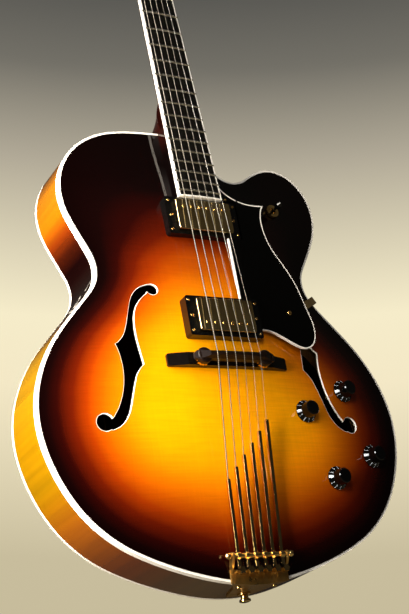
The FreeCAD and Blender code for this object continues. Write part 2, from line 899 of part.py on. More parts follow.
def tuner_post(i):
    """Post with a string hole, standing from its housing through the headstock."""
    foot, _ = tuner_place(i)
    low = foot + V(0, veneer_thickness + head_thickness + housing_depth / 2 - seat_gap, 0)
    post = bar(post_radius, low, foot - V(0, post_stand, 0))
    eye = foot - V(0, post_hole_stand, 0)
    hole = bar(post_hole_radius, eye - V(0, 0, 2 * post_radius), eye + V(0, 0, 2 * post_radius))
    return placed(post.cut(hole), head_place)


def tuner_button(i):
    """Button with its shaft: a turned grip flattened on two sides."""
    root = housing_width / 2
    shaft = bar(shaft_radius, shaft_line(i, root - shaft_reach), shaft_line(i, root + button_neck))
    foot = shaft_line(i, root + button_neck)
    profile = [(a * button_width / 2, b * button_length) for a, b in button_shares]
    grip = placed(turned([(0, 0)] + profile + [(0, button_length)]), along(foot, foot - shaft_line(i, 0)))
    slab = box(foot.x - button_length, foot.x + button_length, foot.y - button_thickness / 2,
               foot.y + button_thickness / 2, foot.z - button_width, foot.z + button_width)
    return placed(shaft.fuse(grip.common(slab)), head_place)


# Pickups
def pickup_rings():
    """Two mounting frames fitted to the arch."""
    rings = []
    for z, rise, _ in pickup_places:
        frame = rounded_box(ring_length, ring_width, front_y - rise, front_y, z, ring_corner)
        room = rounded_box(cover_length + 2 * seat_gap, cover_width + 2 * seat_gap, front_y - rise - overrun,
                           front_y + overrun, z, cover_corner + seat_gap)
        rings.append(frame.cut([room, arch_core]))
    return group(rings)


def pickup_covers():
    """Two folded metal covers with a row of holes for the pole screws."""
    covers = []
    for z, rise, row in pickup_places:
        top = front_y - rise - cover_stand
        can = rounded_box(cover_length, cover_width, top, top + cover_depth, z, cover_corner)
        rim_edges = [e for e in can.Edges if abs(e.CenterOfMass.y - top) < cover_wall]
        can = can.makeFillet(cover_round, rim_edges)
        room = rounded_box(cover_length - 2 * cover_wall, cover_width - 2 * cover_wall, top + cover_wall,
                           top + cover_depth + overrun, z, cover_corner - cover_wall)
        holes = []
        for i in range(string_count):
            pole = V(spread(pole_spacing * (string_count - 1), i), top, z + row * pole_row_offset)
            holes.append(bar(pole_radius, pole - V(0, overrun, 0), pole + V(0, 2 * overrun, 0)))
        covers.append(can.cut([room] + holes))
    return group(covers)


def pickup_coils():
    """Coil blocks inside the covers, on base plates with bent legs and ears for the height screws."""
    coils = []
    for z, rise, _ in pickup_places:
        top = front_y - rise - cover_stand
        foot = top + cover_depth
        block = rounded_box(cover_length - 2 * cover_wall, cover_width - 2 * cover_wall, top + cover_wall,
                            foot, z, cover_corner - cover_wall)
        half = cover_length / 2
        plate = rounded_box(cover_length, cover_width, foot, foot + coil_plate, z, cover_corner)
        z0 = z - coil_ear_width / 2
        z1 = z + coil_ear_width / 2
        legs = []
        for side in (-1, 1):
            inner = side * (half - coil_plate)
            tip = side * (half + coil_ear)
            low = foot + coil_leg
            legs.append(box(min(inner, side * half), max(inner, side * half), foot, low, z0, z1))
            legs.append(box(min(inner, tip), max(inner, tip), low - coil_plate, low, z0, z1))
        coils.append(block.fuse([plate] + legs).removeSplitter())
    return group(coils)


# Bridge
def bridge_base():
    """Base carved to the arch, with lower wings and bevelled ends."""
    tip = bridge_length / 2
    crest_y = front_y - bridge_crest_rise
    tip_y = front_y - bridge_tip_rise
    run = [V(-tip, front_y, 0), V(-tip, tip_y, 0), V(-bridge_crest_half, crest_y, 0),
           V(bridge_crest_half, crest_y, 0), V(tip, tip_y, 0), V(tip, front_y, 0)]
    face = Part.Face(Part.makePolygon(run + run[:1]))
    face.translate(V(0, 0, saddle_z - bridge_width / 2))
    wood = face.extrude(V(0, 0, bridge_width))
    corners = [e for e in wood.Edges if abs(abs(e.CenterOfMass.x) - tip) < overrun
               and abs(e.tangentAt(e.FirstParameter).y) > abs(e.tangentAt(e.FirstParameter).z)]
    wood = wood.makeChamfer(bridge_bevel, corners)
    holes = [bar(bridge_post_radius, V(side * bridge_post_half, crest_y, saddle_z),
                 V(side * bridge_post_half, front_y, saddle_z)) for side in (-1, 1)]
    return wood.cut([arch_core] + holes)


def bridge_saddle_floor():
    """Depth of the saddle's flat underside."""
    return front_y - bridge_crest_rise - wheel_lift - wheel_height


def bridge_posts():
    """Two threaded posts between base and saddle."""
    low = arch_point(bridge_post_half, saddle_z).y - seat_gap
    high = bridge_saddle_floor() - bridge_post_grip
    return group([bar(bridge_post_radius, V(side * bridge_post_half, low, saddle_z),
                      V(side * bridge_post_half, high, saddle_z)) for side in (-1, 1)])


def bridge_saddle():
    """Saddle with a crowned ridge, round bosses over the posts and string notches."""
    half = saddle_length / 2
    floor = bridge_saddle_floor()
    end_y = front_y - saddle_end_rise
    low = Part.makeLine(V(half, floor, 0), V(-half, floor, 0))
    left = Part.makeLine(V(-half, floor, 0), V(-half, end_y, 0))
    right = Part.makeLine(V(half, end_y, 0), V(half, floor, 0))
    span = (saddle_spread + half) / 3
    drop = (span ** 2 - (saddle_spread / 2) ** 2) / (2 * board_radius)
    top_y = front_y - string_rise
    peak = V(0, top_y - saddle_spread ** 2 / (8 * board_radius), 0)
    crest = Part.Arc(V(-span, top_y + drop, 0), peak, V(span, top_y + drop, 0)).toShape()
    slopes = [Part.makeLine(V(-half, end_y, 0), V(-span, top_y + drop, 0)),
              Part.makeLine(V(span, top_y + drop, 0), V(half, end_y, 0))]
    face = Part.Face(loop([low, left, right, crest] + slopes))
    face.translate(V(0, 0, saddle_z - saddle_width / 2))
    wood = face.extrude(V(0, 0, saddle_width))
    height = floor - peak.y
    slope = (saddle_width - saddle_ridge) / 2
    for side in (-1, 1):
        run = [V(-half - overrun, floor - height / 2, saddle_z + side * saddle_width / 2),
               V(-half - overrun, floor - height - overrun, saddle_z + side * (saddle_width / 2 - slope)),
               V(-half - overrun, floor - height - overrun, saddle_z + side * (saddle_width + overrun))]
        wedge = Part.Face(Part.makePolygon(run + run[:1])).extrude(V(saddle_length + 2 * overrun, 0, 0))
        wood = wood.cut(wedge)
    ends = [e for e in wood.Edges if abs(abs(e.CenterOfMass.x) - half) < overrun
            and abs(e.tangentAt(e.FirstParameter).y) > 0.9]
    wood = wood.makeFillet(saddle_width / 3, ends)
    bosses = []
    for side in (-1, 1):
        top = V(side * bridge_post_half, front_y - saddle_boss_rise, saddle_z)
        boss = bar(saddle_boss_radius, V(top.x, floor, top.z), top)
        rim_edges = [e for e in boss.Edges if abs(e.CenterOfMass.y - top.y) < seat_gap]
        bosses.append(boss.makeFillet(saddle_boss_round, rim_edges))
    wood = wood.fuse(bosses)
    deep = floor - bridge_post_grip - saddle_travel - seat_gap
    holes = [bar(bridge_post_radius + running_fit, V(side * bridge_post_half, floor + overrun, saddle_z),
                 V(side * bridge_post_half, deep, saddle_z)) for side in (-1, 1)]
    for i in range(string_count):
        holes += [string_wire(i, running_fit), string_slot(i, peak.y - overrun)]
    return wood.cut(holes)


def thumbwheel(side):
    """Grooved wheel on a bridge post, carrying one end of the saddle."""
    floor = bridge_saddle_floor()
    foot = V(side * bridge_post_half, floor, saddle_z)
    wheel = star_prism(foot, wheel_radius, wheel_groove, wheel_teeth, floor + wheel_height)
    return wheel.cut(bar(bridge_post_radius + running_fit, foot - V(0, overrun, 0),
                         foot + V(0, wheel_height + overrun, 0)))


# Strings
def string_path(i):
    """Corners of a string: finger tip, saddle, nut and tuner post."""
    foot, _ = tuner_place(i)
    eye = head_place.multVec(foot - V(0, post_hole_stand, 0))
    nut_point = string_nut_point(i)
    start = finger_tip_point(i)
    start = start + (string_saddle_point(i) - start).normalize() * (seat_gap + gauge(i) / 2)
    stop = eye + (nut_point - eye).normalize() * (post_radius + seat_gap)
    return [start, string_saddle_point(i), nut_point, stop]


def string_wire(i, clearance):
    """One string, or the room for it with a clearance round it."""
    path = string_path(i)
    ring = Part.Wire(Part.makeCircle(gauge(i) + clearance, path[0], path[1] - path[0]))
    return Part.makePolygon(path).makePipeShell([ring], True, False, 1)


def string_slot(i, open_y):
    """Room above a string over the saddle, open to the front."""
    start, crest, stop, _ = string_path(i)
    low = crest + (start - crest) * (saddle_width / (crest.z - start.z))
    high = crest + (stop - crest) * (saddle_width / (stop.z - crest.z))
    half = gauge(i) + seat_gap
    run = [V(crest.x - half, p.y, p.z) for p in (low, crest, high)]
    run += [V(crest.x - half, open_y, p.z) for p in (high, low)]
    return Part.Face(Part.makePolygon(run + run[:1])).extrude(V(2 * half, 0, 0))


def strings():
    """Six strings from the tailpiece fingers over saddle and nut to the tuner posts."""
    return group([string_wire(i, 0) for i in range(string_count)])


# Tailpiece
def tail_plate():
    """Folded plate with a lip on the top and a tapered drop down the tail, and two ears for the rod."""
    lip = box(-tail_plate_half_width, tail_plate_half_width, front_y - tail_lip_rise, front_y,
              -tail_plate_thickness, tail_plate_reach)
    lip = lip.common(outline_prism(-tail_plate_thickness, front_y - tail_lip_rise, front_y))
    drop = outline_ring(-tail_plate_thickness, 0, front_y - tail_lip_rise, back_y)
    end_y = button_flange_radius + tail_plate_foot
    shape = [V(-tail_plate_half_width, front_y - tail_lip_rise, 0),
             V(tail_plate_half_width, front_y - tail_lip_rise, 0),
             V(tail_plate_drop_half, front_y / 2, 0), V(tail_plate_tip_half, end_y, 0),
             V(-tail_plate_tip_half, end_y, 0), V(-tail_plate_drop_half, front_y / 2, 0)]
    sheet = Part.Face(Part.makePolygon(shape + shape[:1]))
    sheet.translate(V(0, 0, -2 * tail_plate_thickness))
    drop = drop.common(sheet.extrude(V(0, 0, tail_plate_reach)))
    ears = []
    for side in (-1, 1):
        inner = rod_half_length - tail_ear_thickness
        x0 = inner if side > 0 else -rod_half_length
        axis = V(x0, front_y - rod_rise, rod_z)
        eye = bar(tail_ear_radius, axis, axis + V(tail_ear_thickness, 0, 0))
        arm = [V(x0, front_y, tail_plate_reach - 2 * tail_ear_radius), V(x0, front_y, tail_plate_reach),
               V(x0, front_y - rod_rise + tail_ear_radius, rod_z), V(x0, front_y - rod_rise, rod_z),
               V(x0, front_y - rod_rise - tail_plate_thickness, rod_z - tail_ear_radius)]
        web = Part.Face(Part.makePolygon(arm + arm[:1])).extrude(V(tail_ear_thickness, 0, 0))
        ears.append(eye.fuse(web))
    screw = bar(button_screw_radius, V(0, 0, -2 * tail_plate_thickness), V(0, 0, rim_thickness))
    plate = lip.fuse(drop).cut([arch_core, screw]).removeSplitter()
    rod = bar(rod_radius, V(-rod_half_length, front_y - rod_rise, rod_z),
              V(rod_half_length, front_y - rod_rise, rod_z))
    ears = [ear.cut([arch_core, plate, rod]).removeSplitter() for ear in ears]
    return group([solid for piece in [plate] + ears for solid in piece.Solids])


def tail_rod():
    """Cross rod with ball ends, on which the fingers turn."""
    left = V(-rod_half_length, front_y - rod_rise, rod_z)
    right = V(rod_half_length, front_y - rod_rise, rod_z)
    balls = []
    for end, way in ((left, -1), (right, 1)):
        ball = Part.makeSphere(rod_ball_radius, end + V(way * rod_ball_radius, 0, 0))
        balls.append(ball)
    neck_reach = V(rod_ball_radius, 0, 0)
    return bar(rod_radius, left - neck_reach, right + neck_reach).fuse(balls)


def fine_screw_foot(i):
    """Point where a fine tuning screw passes through its finger's tail."""
    return finger_rod_point(i) - V(0, 0, fine_screw_back)


def tailpiece_finger(i):
    """Finger lever: barrel on the rod, long straight arm over the arch and a short tail for its screw."""
    axis = finger_rod_point(i)
    tip = finger_tip_point(i)
    half = V(finger_barrel_width / 2, 0, 0)
    barrel = bar(finger_barrel_radius, axis - half, axis + half)
    run = tip - axis
    reach = math.hypot(run.x, run.z)
    line = [V(0, 0, 0), V(0, run.y, reach)]
    rise = V(-finger_width / 2, finger_height / 2, 0)
    side = [p + rise for p in line] + [p + V(rise.x, -rise.y, 0) for p in line[::-1]]
    arm = Part.Face(Part.makePolygon(side + side[:1])).extrude(V(finger_width, 0, 0))
    sideways = math.degrees(math.atan2(run.x, run.z))
    arm = placed(arm, FreeCAD.Placement(axis, FreeCAD.Rotation(V(0, 1, 0), sideways)))
    tail = box(axis.x - finger_width / 2, axis.x + finger_width / 2, axis.y - finger_tail_height / 2,
               axis.y + finger_tail_height / 2, axis.z - finger_tail, axis.z)
    foot = fine_screw_foot(i)
    deep = V(0, finger_tail_height / 2, 0)
    boss = bar(finger_boss_radius, foot - deep, foot + deep)
    screw = bar(fine_screw_radius + running_fit, foot - V(0, rod_rise, 0), foot + V(0, rod_rise, 0))
    bore = bar(rod_radius + running_fit, axis - half * 2, axis + half * 2)
    return barrel.fuse([arm, tail, boss]).cut([bore, screw]).removeSplitter()


def fine_tune_screw(i):
    """Star-headed thumb screw through a finger's tail, standing just off the tail plate."""
    foot = fine_screw_foot(i)
    low = V(foot.x, front_y - tail_lip_rise - seat_gap, foot.z)
    head_y = foot.y - finger_tail_height / 2 - seat_gap
    shank = bar(fine_screw_radius, low, V(foot.x, head_y, foot.z))
    head = star_prism(V(foot.x, head_y, foot.z), fine_head_radius, fine_head_groove, fine_head_points,
                      head_y - fine_head_height)
    return shank.fuse(head).removeSplitter()


def strap_button():
    """Turned strap button with its screw, seated on the tail plate."""
    base = tail_plate_thickness
    waist = base + button_flange_height
    head = waist + button_waist_height
    profile = [(0, -button_screw_length), (button_screw_radius, -button_screw_length),
               (button_screw_radius, base), (button_flange_radius, base), (button_flange_radius, waist),
               (button_waist_radius, waist + button_flange_height),
               (button_waist_radius, head - button_flange_height), (button_head_radius, head),
               (button_head_radius, head + button_head_height - button_flange_height / 2),
               (button_waist_radius, head + button_head_height), (0, head + button_head_height)]
    return placed(turned(profile), along(V(0, 0, 0), V(0, 0, -1)))


# Finger rest
def guard_plan(y0, y1):
    """Outline of the finger rest, from the side of the board round to the bridge pickup."""
    outer = body_points(guard_outer_shares)
    side = body_points(guard_side_shares)
    neck_x = board_width(board_end) / 2 + guard_neck_gap
    corner = V(neck_x, 0, outer[0].z + joint_half_width / 2)
    inner_x = saddle_spread / 2 + guard_string_gap
    low = V(inner_x, 0, side[-1].z)
    edges = round_edges([corner] + outer) + round_edges(side) + [Part.makeLine(side[-1], low)]
    neck_low = V(inner_x, 0, neck_pickup_z())
    step = V(neck_x, 0, neck_pickup_z())
    edges += [Part.makeLine(low, neck_low), Part.makeLine(neck_low, step), Part.makeLine(step, corner)]
    return prism(edges, y0, y1)


def pickguard():
    """Flat finger rest, cut round both pickup frames."""
    y0 = front_y - guard_rise
    sheet = guard_plan(y0, y0 + guard_thickness)
    cutters = []
    for z, _, _ in pickup_places:
        half = ring_length / 2 + guard_gap
        tall = ring_width / 2 + guard_gap
        cutters.append(box(-half, half, y0 - overrun, y0 + guard_thickness + overrun, z - tall, z + tall))
    return sheet.cut(cutters).Solids[0]


def pickguard_bracket():
    """Bent strip from under the finger rest, sloping out to the treble waist and down the rim."""
    mark = Part.Vertex(body_point(bracket_seat_shares))
    seat = loop(outline_edges(0)).distToShape(mark)[1][0][0]
    inner = loop(outline_edges(rim_thickness)).distToShape(Part.Vertex(seat))[1][0][0]
    out = (seat - inner).normalize()
    reach = seat.x - body_point(guard_side_shares[5]).x
    under = front_y - guard_rise + guard_thickness
    knee = front_y - bracket_stand
    foot = front_y + top_binding_height + bracket_drop
    tip = -reach - bracket_under
    outer = bracket_thickness
    line = [V(tip, under, 0), V(-reach, under, 0), V(outer, knee, 0), V(outer, foot, 0)]
    lower = under + bracket_thickness
    back = [V(0, foot, 0), V(0, knee + bracket_thickness, 0), V(-reach, lower, 0), V(tip, lower, 0)]
    strip = Part.Face(Part.makePolygon(line + back + line[:1])).extrude(V(0, 0, bracket_width))
    strip.translate(V(0, 0, -bracket_width / 2))
    turn = FreeCAD.Rotation(V(1, 0, 0), out)
    strip = placed(strip, FreeCAD.Placement(V(seat.x, 0, seat.z), turn))
    return strip.cut(outline_prism(0, front_y, back_y)).removeSplitter()


# Controls
def knob(place):
    """Top-hat knob with its shaft, square to the arch."""
    rise = knob_lift + knob_height
    profile = [(0, -pot_shaft_reach), (pot_shaft_radius, -pot_shaft_reach), (pot_shaft_radius, knob_lift),
               (knob_skirt_radius, knob_lift), (knob_skirt_radius, knob_lift + knob_skirt_edge),
               (knob_waist_radius, knob_lift + knob_skirt_height), (knob_top_radius, rise - knob_crown),
               (knob_top_radius - knob_crown, rise), (0, rise)]
    foot = arch_point(place.x, place.z)
    return placed(turned(profile), along(foot, arch_normal(place.x, place.z)))


def control_housings():
    """Four control pots and the switch housing, held under the top."""
    pieces = []
    bore = pot_shaft_radius + running_fit
    for place in knob_places:
        profile = [(bore, -plate_thickness), (bore, 0), (pot_bushing_radius, 0),
                   (pot_bushing_radius, -plate_thickness - pot_washer),
                   (pot_radius, -plate_thickness - pot_washer),
                   (pot_radius, -plate_thickness - pot_depth), (0, -plate_thickness - pot_depth),
                   (0, -pot_shaft_reach - seat_gap), (bore, -pot_shaft_reach - seat_gap)]
        foot = arch_point(place.x, place.z)
        pieces.append(placed(turned(profile), along(foot, arch_normal(place.x, place.z))))
    ball = lever_ball_radius + running_fit
    throat = -lever_pivot_depth + math.sqrt(ball ** 2 - switch_throat_radius ** 2)
    low = -plate_thickness - switch_body_depth
    rise = switch_nut_lift + switch_nut_height
    profile = [(switch_bore_radius, throat), (switch_bore_radius, rise), (switch_nut_radius, rise),
               (switch_nut_radius, switch_nut_lift), (switch_bushing_radius, switch_nut_lift),
               (switch_bushing_radius, -plate_thickness - switch_washer),
               (switch_body_radius, -plate_thickness - switch_washer), (switch_body_radius, low), (0, low),
               (0, throat)]
    foot = arch_point(switch_place.x, switch_place.z)
    seat = along(foot, arch_normal(switch_place.x, switch_place.z))
    socket = Part.makeSphere(ball, V(0, 0, -lever_pivot_depth))
    pieces.append(placed(turned(profile).cut(socket), seat))
    return group(pieces)


def toggle_lever():
    """Switch lever: ball in its socket, thin stem and a bullet tip."""
    stem = lever_reach - lever_pivot_depth
    tip = stem + lever_tip_length
    profile = [(0, -lever_pivot_depth), (lever_radius, -lever_pivot_depth), (lever_radius, stem),
               (lever_tip_radius, stem + lever_radius), (lever_tip_radius, tip - lever_tip_radius),
               (lever_radius, tip), (0, tip)]
    ball = Part.makeSphere(lever_ball_radius, V(0, 0, -lever_pivot_depth))
    foot = arch_point(switch_place.x, switch_place.z)
    return placed(turned(profile).fuse(ball), along(foot, arch_normal(switch_place.x, switch_place.z)))


def output_jack():
    """Barrel jack through the treble rim with its washer and nut."""
    bore = jack_bore_radius
    washer = jack_washer_height
    top = washer + jack_nut_height
    profile = [(bore, -jack_depth), (bore, top), (jack_nut_radius, top), (jack_nut_radius, washer),
               (jack_washer_radius, washer), (jack_washer_radius, 0), (jack_barrel_radius, 0),
               (jack_barrel_radius, -jack_depth)]
    return placed(turned(profile), along(jack_seat(), V(1, 0, 0)))


# Every node by its name
nodes = {
    "top_plate": top_plate, "back_plate": back_plate, "rim": rim, "linings": linings,
    "body_blocks": body_blocks, "tone_bars": tone_bars, "body_bindings": body_bindings, "neck": neck,
    "truss_rod": truss_rod, "fretboard": fretboard, "fretboard_binding": fretboard_binding, "frets": frets,
    "nut": nut, "headstock_veneer": headstock_veneer, "tuner_housings": tuner_housings,
    "pickup_rings": pickup_rings, "pickup_covers": pickup_covers, "pickup_coils": pickup_coils,
    "bridge_base": bridge_base, "bridge_posts": bridge_posts, "bridge_saddle": bridge_saddle,
    "strings": strings, "tail_plate": tail_plate, "tail_rod": tail_rod, "strap_button": strap_button,
    "pickguard": pickguard,
    "pickguard_bracket": pickguard_bracket, "control_housings": control_housings,
    "toggle_lever": toggle_lever, "output_jack": output_jack,
}
os.makedirs("parts", exist_ok=True)


def save(name, shape):
    """Write one node."""
    shape.exportStep("parts/" + name + ".step")


for name, make in nodes.items():
    save(name, make())
for name, side in (("thumbwheel_bass", -1), ("thumbwheel_treble", 1)):
    save(name, thumbwheel(side))
for name, place in zip(knob_names, knob_places):
    save(name, knob(place))
for i in range(string_count):
    number = str(i + 1)
    save("tuner_post_" + number, tuner_post(i))
    save("tuner_button_" + number, tuner_button(i))
    save("tailpiece_finger_" + number, tailpiece_finger(i))
    save("fine_tune_screw_" + number, fine_tune_screw(i))
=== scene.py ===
"""Looks of the archtop guitar: finishes, trim and small fasteners around its solids, in metres.

X points to the treble side, the front faces -Y and Z runs up along the strings. Sizes of pieces are in
millimetres and are turned to metres where they are used.
"""
import json
import logging
import math
from contextlib import contextmanager
from dataclasses import dataclass
from enum import Enum
from typing import Callable, Iterator, Optional, Sequence

import bpy
from mathutils import Matrix, Vector
from mathutils.bvhtree import BVHTree

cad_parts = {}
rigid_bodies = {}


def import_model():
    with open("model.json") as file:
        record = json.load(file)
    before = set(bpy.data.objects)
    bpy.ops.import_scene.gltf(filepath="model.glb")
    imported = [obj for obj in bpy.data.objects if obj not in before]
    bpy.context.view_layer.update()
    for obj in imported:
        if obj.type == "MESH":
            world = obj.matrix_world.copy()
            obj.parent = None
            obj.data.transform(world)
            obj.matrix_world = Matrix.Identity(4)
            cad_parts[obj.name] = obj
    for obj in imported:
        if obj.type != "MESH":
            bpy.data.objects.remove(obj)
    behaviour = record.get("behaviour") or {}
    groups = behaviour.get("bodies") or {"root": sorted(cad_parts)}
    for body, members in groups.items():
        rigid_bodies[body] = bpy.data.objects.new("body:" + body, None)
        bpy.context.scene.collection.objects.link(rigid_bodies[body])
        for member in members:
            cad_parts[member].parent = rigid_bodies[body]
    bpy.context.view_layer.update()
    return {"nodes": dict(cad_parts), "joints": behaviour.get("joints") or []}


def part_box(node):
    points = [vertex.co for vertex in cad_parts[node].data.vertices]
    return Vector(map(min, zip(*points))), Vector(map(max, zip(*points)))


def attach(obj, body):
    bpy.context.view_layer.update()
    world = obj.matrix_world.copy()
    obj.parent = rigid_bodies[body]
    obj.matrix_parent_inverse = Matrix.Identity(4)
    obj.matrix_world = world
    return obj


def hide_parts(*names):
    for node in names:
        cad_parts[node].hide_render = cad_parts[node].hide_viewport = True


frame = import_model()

MM = 0.001
FRONT = Vector((0.0, -1.0, 0.0))
BASSWARD = Vector((-1.0, 0.0, 0.0))
TAILWARD = Vector((0.0, 0.0, -1.0))
LOG = logging.getLogger("archtop")
JOINTS = {joint["name"]: joint for joint in frame["joints"]}
# Heights, in metres, that the bridge pickup and the neck pickup lie between.
PICKUP_SPANS = ((0.0, 0.34), (0.34, 1.0))
STRING_COUNT = 6
# Share of a face's normal along an axis from which the face counts as square to that axis.
SQUARE_ON = 0.9
# Digits, in metres, within which two corners are one when a copy is merged.
WELD_DIGITS = 6


def linear(code: str) -> tuple[float, float, float, float]:
    """Turn an sRGB hex colour into linear light.

    Args:
        code: six hex digits.

    Returns:
        Red, green, blue and a full alpha.
    """
    shares = [int(code[place:place + 2], 16) / 255 for place in (0, 2, 4)]
    light = [share / 12.92 if share <= 0.04045 else ((share + 0.055) / 1.055) ** 2.4 for share in shares]
    return light[0], light[1], light[2], 1.0


def toned(code: str, amount: float) -> tuple[float, float, float, float]:
    """Colour with its light multiplied by an amount."""
    red, green, blue, alpha = linear(code)
    return red * amount, green * amount, blue * amount, alpha


def per(size: float) -> float:
    """Pattern scale, in repeats per metre, of a feature of that size in millimetres."""
    return 1.0 / (size * MM)


def fill(tree: bpy.types.NodeTree, node: bpy.types.Node, values: dict) -> None:
    """Link a node's sockets or set their values.

    Args:
        tree: the node's tree.
        node: the node.
        values: socket name or number, with the socket that it is linked from or its value.
    """
    for socket, value in values.items():
        if isinstance(value, bpy.types.NodeSocket):
            tree.links.new(value, node.inputs[socket])
        else:
            node.inputs[socket].default_value = value


def add(tree: bpy.types.NodeTree, kind: str, values: Optional[dict] = None, **settings) -> bpy.types.Node:
    """Add a node with its settings, its values and its links.

    Args:
        tree: node tree that takes the node.
        kind: the node's type.
        values: socket name or number, with the socket that it is linked from or its value.
        settings: the node's own options; stops are the places and colours of a ramp.

    Returns:
        The new node.
    """
    node = tree.nodes.new(kind)
    stops = settings.pop("stops", ())
    for name, value in settings.items():
        setattr(node, name, value)
    for number, (place, code) in enumerate(stops):
        ramp = node.color_ramp.elements
        stop = ramp[number] if number < len(ramp) else ramp.new(place)
        stop.position = place
        stop.color = linear(code) if isinstance(code, str) else code
    fill(tree, node, values or {})
    return node


# Finishes


# Matt colour under a polished clear coat: deep, with sharp images of the lamps.
CLEAR_COAT = {"Roughness": 0.6, "Specular IOR Level": 0.0, "Coat Weight": 1.0, "Coat Roughness": 0.05}


@dataclass(frozen=True)
class Finish:
    """What every finish has.

    Attributes:
        name: the material's name, in a maker's words.
    """

    name: str

    def material(self) -> bpy.types.Material:
        """Make the material, or find the one that was made before.

        Returns:
            The material.
        """
        made = bpy.data.materials.get(self.name)
        if made is None:
            made = bpy.data.materials.new(self.name)
            made.use_nodes = True
            tree = made.node_tree
            tree.nodes.clear()
            shader = add(tree, "ShaderNodeBsdfPrincipled")
            add(tree, "ShaderNodeOutputMaterial", {"Surface": shader.outputs["BSDF"]})
            self.paint(tree, shader)
        return made

    def paint(self, tree: bpy.types.NodeTree, shader: bpy.types.Node) -> None:
        """Give the shader its colour and surface.

        Args:
            tree: the material's node tree.
            shader: its principled shader.
        """
        raise NotImplementedError

    @staticmethod
    def figure(tree: bpy.types.NodeTree, run: Sequence[float], detail: float = 3.0) -> bpy.types.NodeSocket:
        """Grain or mottling that is fixed to the piece.

        Args:
            tree: the material's node tree.
            run: size of the pattern's feature along X, Y and Z, in millimetres.
            detail: how much finer grain lies within it.

        Returns:
            The pattern, from 0 to 1.
        """
        spot = add(tree, "ShaderNodeTexCoord")
        place = add(tree, "ShaderNodeMapping", {"Vector": spot.outputs["Object"],
                                                "Scale": [per(size) for size in run]})
        return add(tree, "ShaderNodeTexNoise", {"Vector": place.outputs["Vector"], "Scale": 1.0,
                                                "Detail": detail}).outputs["Fac"]

    @staticmethod
    def by_height(tree: bpy.types.NodeTree, run: Sequence[tuple[float, str]]) -> bpy.types.NodeSocket:
        """Colour that changes up the piece.

        Args:
            tree: the material's node tree.
            run: heights in metres, each with the colour there.

        Returns:
            The colour.
        """
        spot = add(tree, "ShaderNodeTexCoord")
        axes = add(tree, "ShaderNodeSeparateXYZ", {"Vector": spot.outputs["Object"]})
        return add(tree, "ShaderNodeValToRGB", {"Fac": axes.outputs["Z"]}, stops=run).outputs["Color"]

    @staticmethod
    def shade(tree: bpy.types.NodeTree, colour: bpy.types.NodeSocket, grain: bpy.types.NodeSocket,
              tone: tuple[float, float]) -> bpy.types.NodeSocket:
        """Darken and lighten a colour by a pattern.

        Args:
            tree: the material's node tree.
            colour: the plain colour.
            grain: the pattern, from 0 to 1.
            tone: what the colour is multiplied by where the pattern is weak and where it is strong.

        Returns:
            The shaded colour.
        """
        amount = add(tree, "ShaderNodeMapRange", {"Value": grain, 1: 0.3, 2: 0.7, 3: tone[0], 4: tone[1]})
        return add(tree, "ShaderNodeVectorMath", {0: colour, "Scale": amount.outputs["Result"]},
                   operation="SCALE").outputs["Vector"]


class Wood(Enum):
    """Tone wood under a lacquer, with the size of its figure along X, Y and Z in millimetres."""

    SPRUCE = (1.3, 40.0, 220.0)
    FLAMED_MAPLE = (70.0, 40.0, 9.0)


@dataclass(frozen=True)
class SunburstLacquer(Finish):
    """Sprayed sunburst under polished gloss lacquer: colour runs from the edge inwards, over fine wood silk.

    Attributes:
        wood: the tone wood that shows through.
        bands: share of the burst, from edge to centre, with its colour.
        silk: size of the short rays across the grain of quartered wood, in millimetres.
        swell: size of the faint waves in the lacquer, in millimetres.
        swell_relief: height of those waves, in millimetres.
        grain_tone: how far the grain darkens and lightens the colour.
        silk_tone: how far the rays do.
    """

    wood: Wood = Wood.SPRUCE
    bands: tuple[tuple[float, str], ...] = (
        (0.0, "040000"), (0.07, "090101"), (0.15, "1c0201"), (0.26, "4a0e01"), (0.36, "7a2601"),
        (0.47, "a54701"), (0.58, "c56401"), (0.69, "e37e02"), (0.80, "f59302"), (1.0, "faa202"))
    silk: tuple[float, float, float] = (34.0, 34.0, 1.8)
    swell: float = 60.0
    swell_relief: float = 0.4
    grain_tone: tuple[float, float] = (0.965, 1.03)
    silk_tone: tuple[float, float] = (0.93, 1.05)

    def paint(self, tree: bpy.types.NodeTree, shader: bpy.types.Node) -> None:
        """Burst colours with grain and silk, under a clear coat.

        Args:
            tree: the material's node tree.
            shader: its principled shader.
        """
        # The burst share also holds painted light, paler on the bass side, and painted shade, dark on the
        # inner faces.
        burst = add(tree, "ShaderNodeAttribute", attribute_name="burst")
        colour = add(tree, "ShaderNodeValToRGB", {"Fac": burst.outputs["Fac"]},
                     stops=self.bands).outputs["Color"]
        colour = self.shade(tree, colour, self.figure(tree, self.wood.value), self.grain_tone)
        colour = self.shade(tree, colour, self.figure(tree, self.silk, 2.0), self.silk_tone)
        bump = add(tree, "ShaderNodeBump", {"Height": self.figure(tree, (self.swell,) * 3, 2.0),
                                            "Strength": 0.15, "Distance": self.swell_relief * MM})
        fill(tree, shader, {**CLEAR_COAT, "Base Color": colour, "Coat Normal": bump.outputs["Normal"],
                            "Coat IOR": 1.36, "Coat Roughness": 0.03})


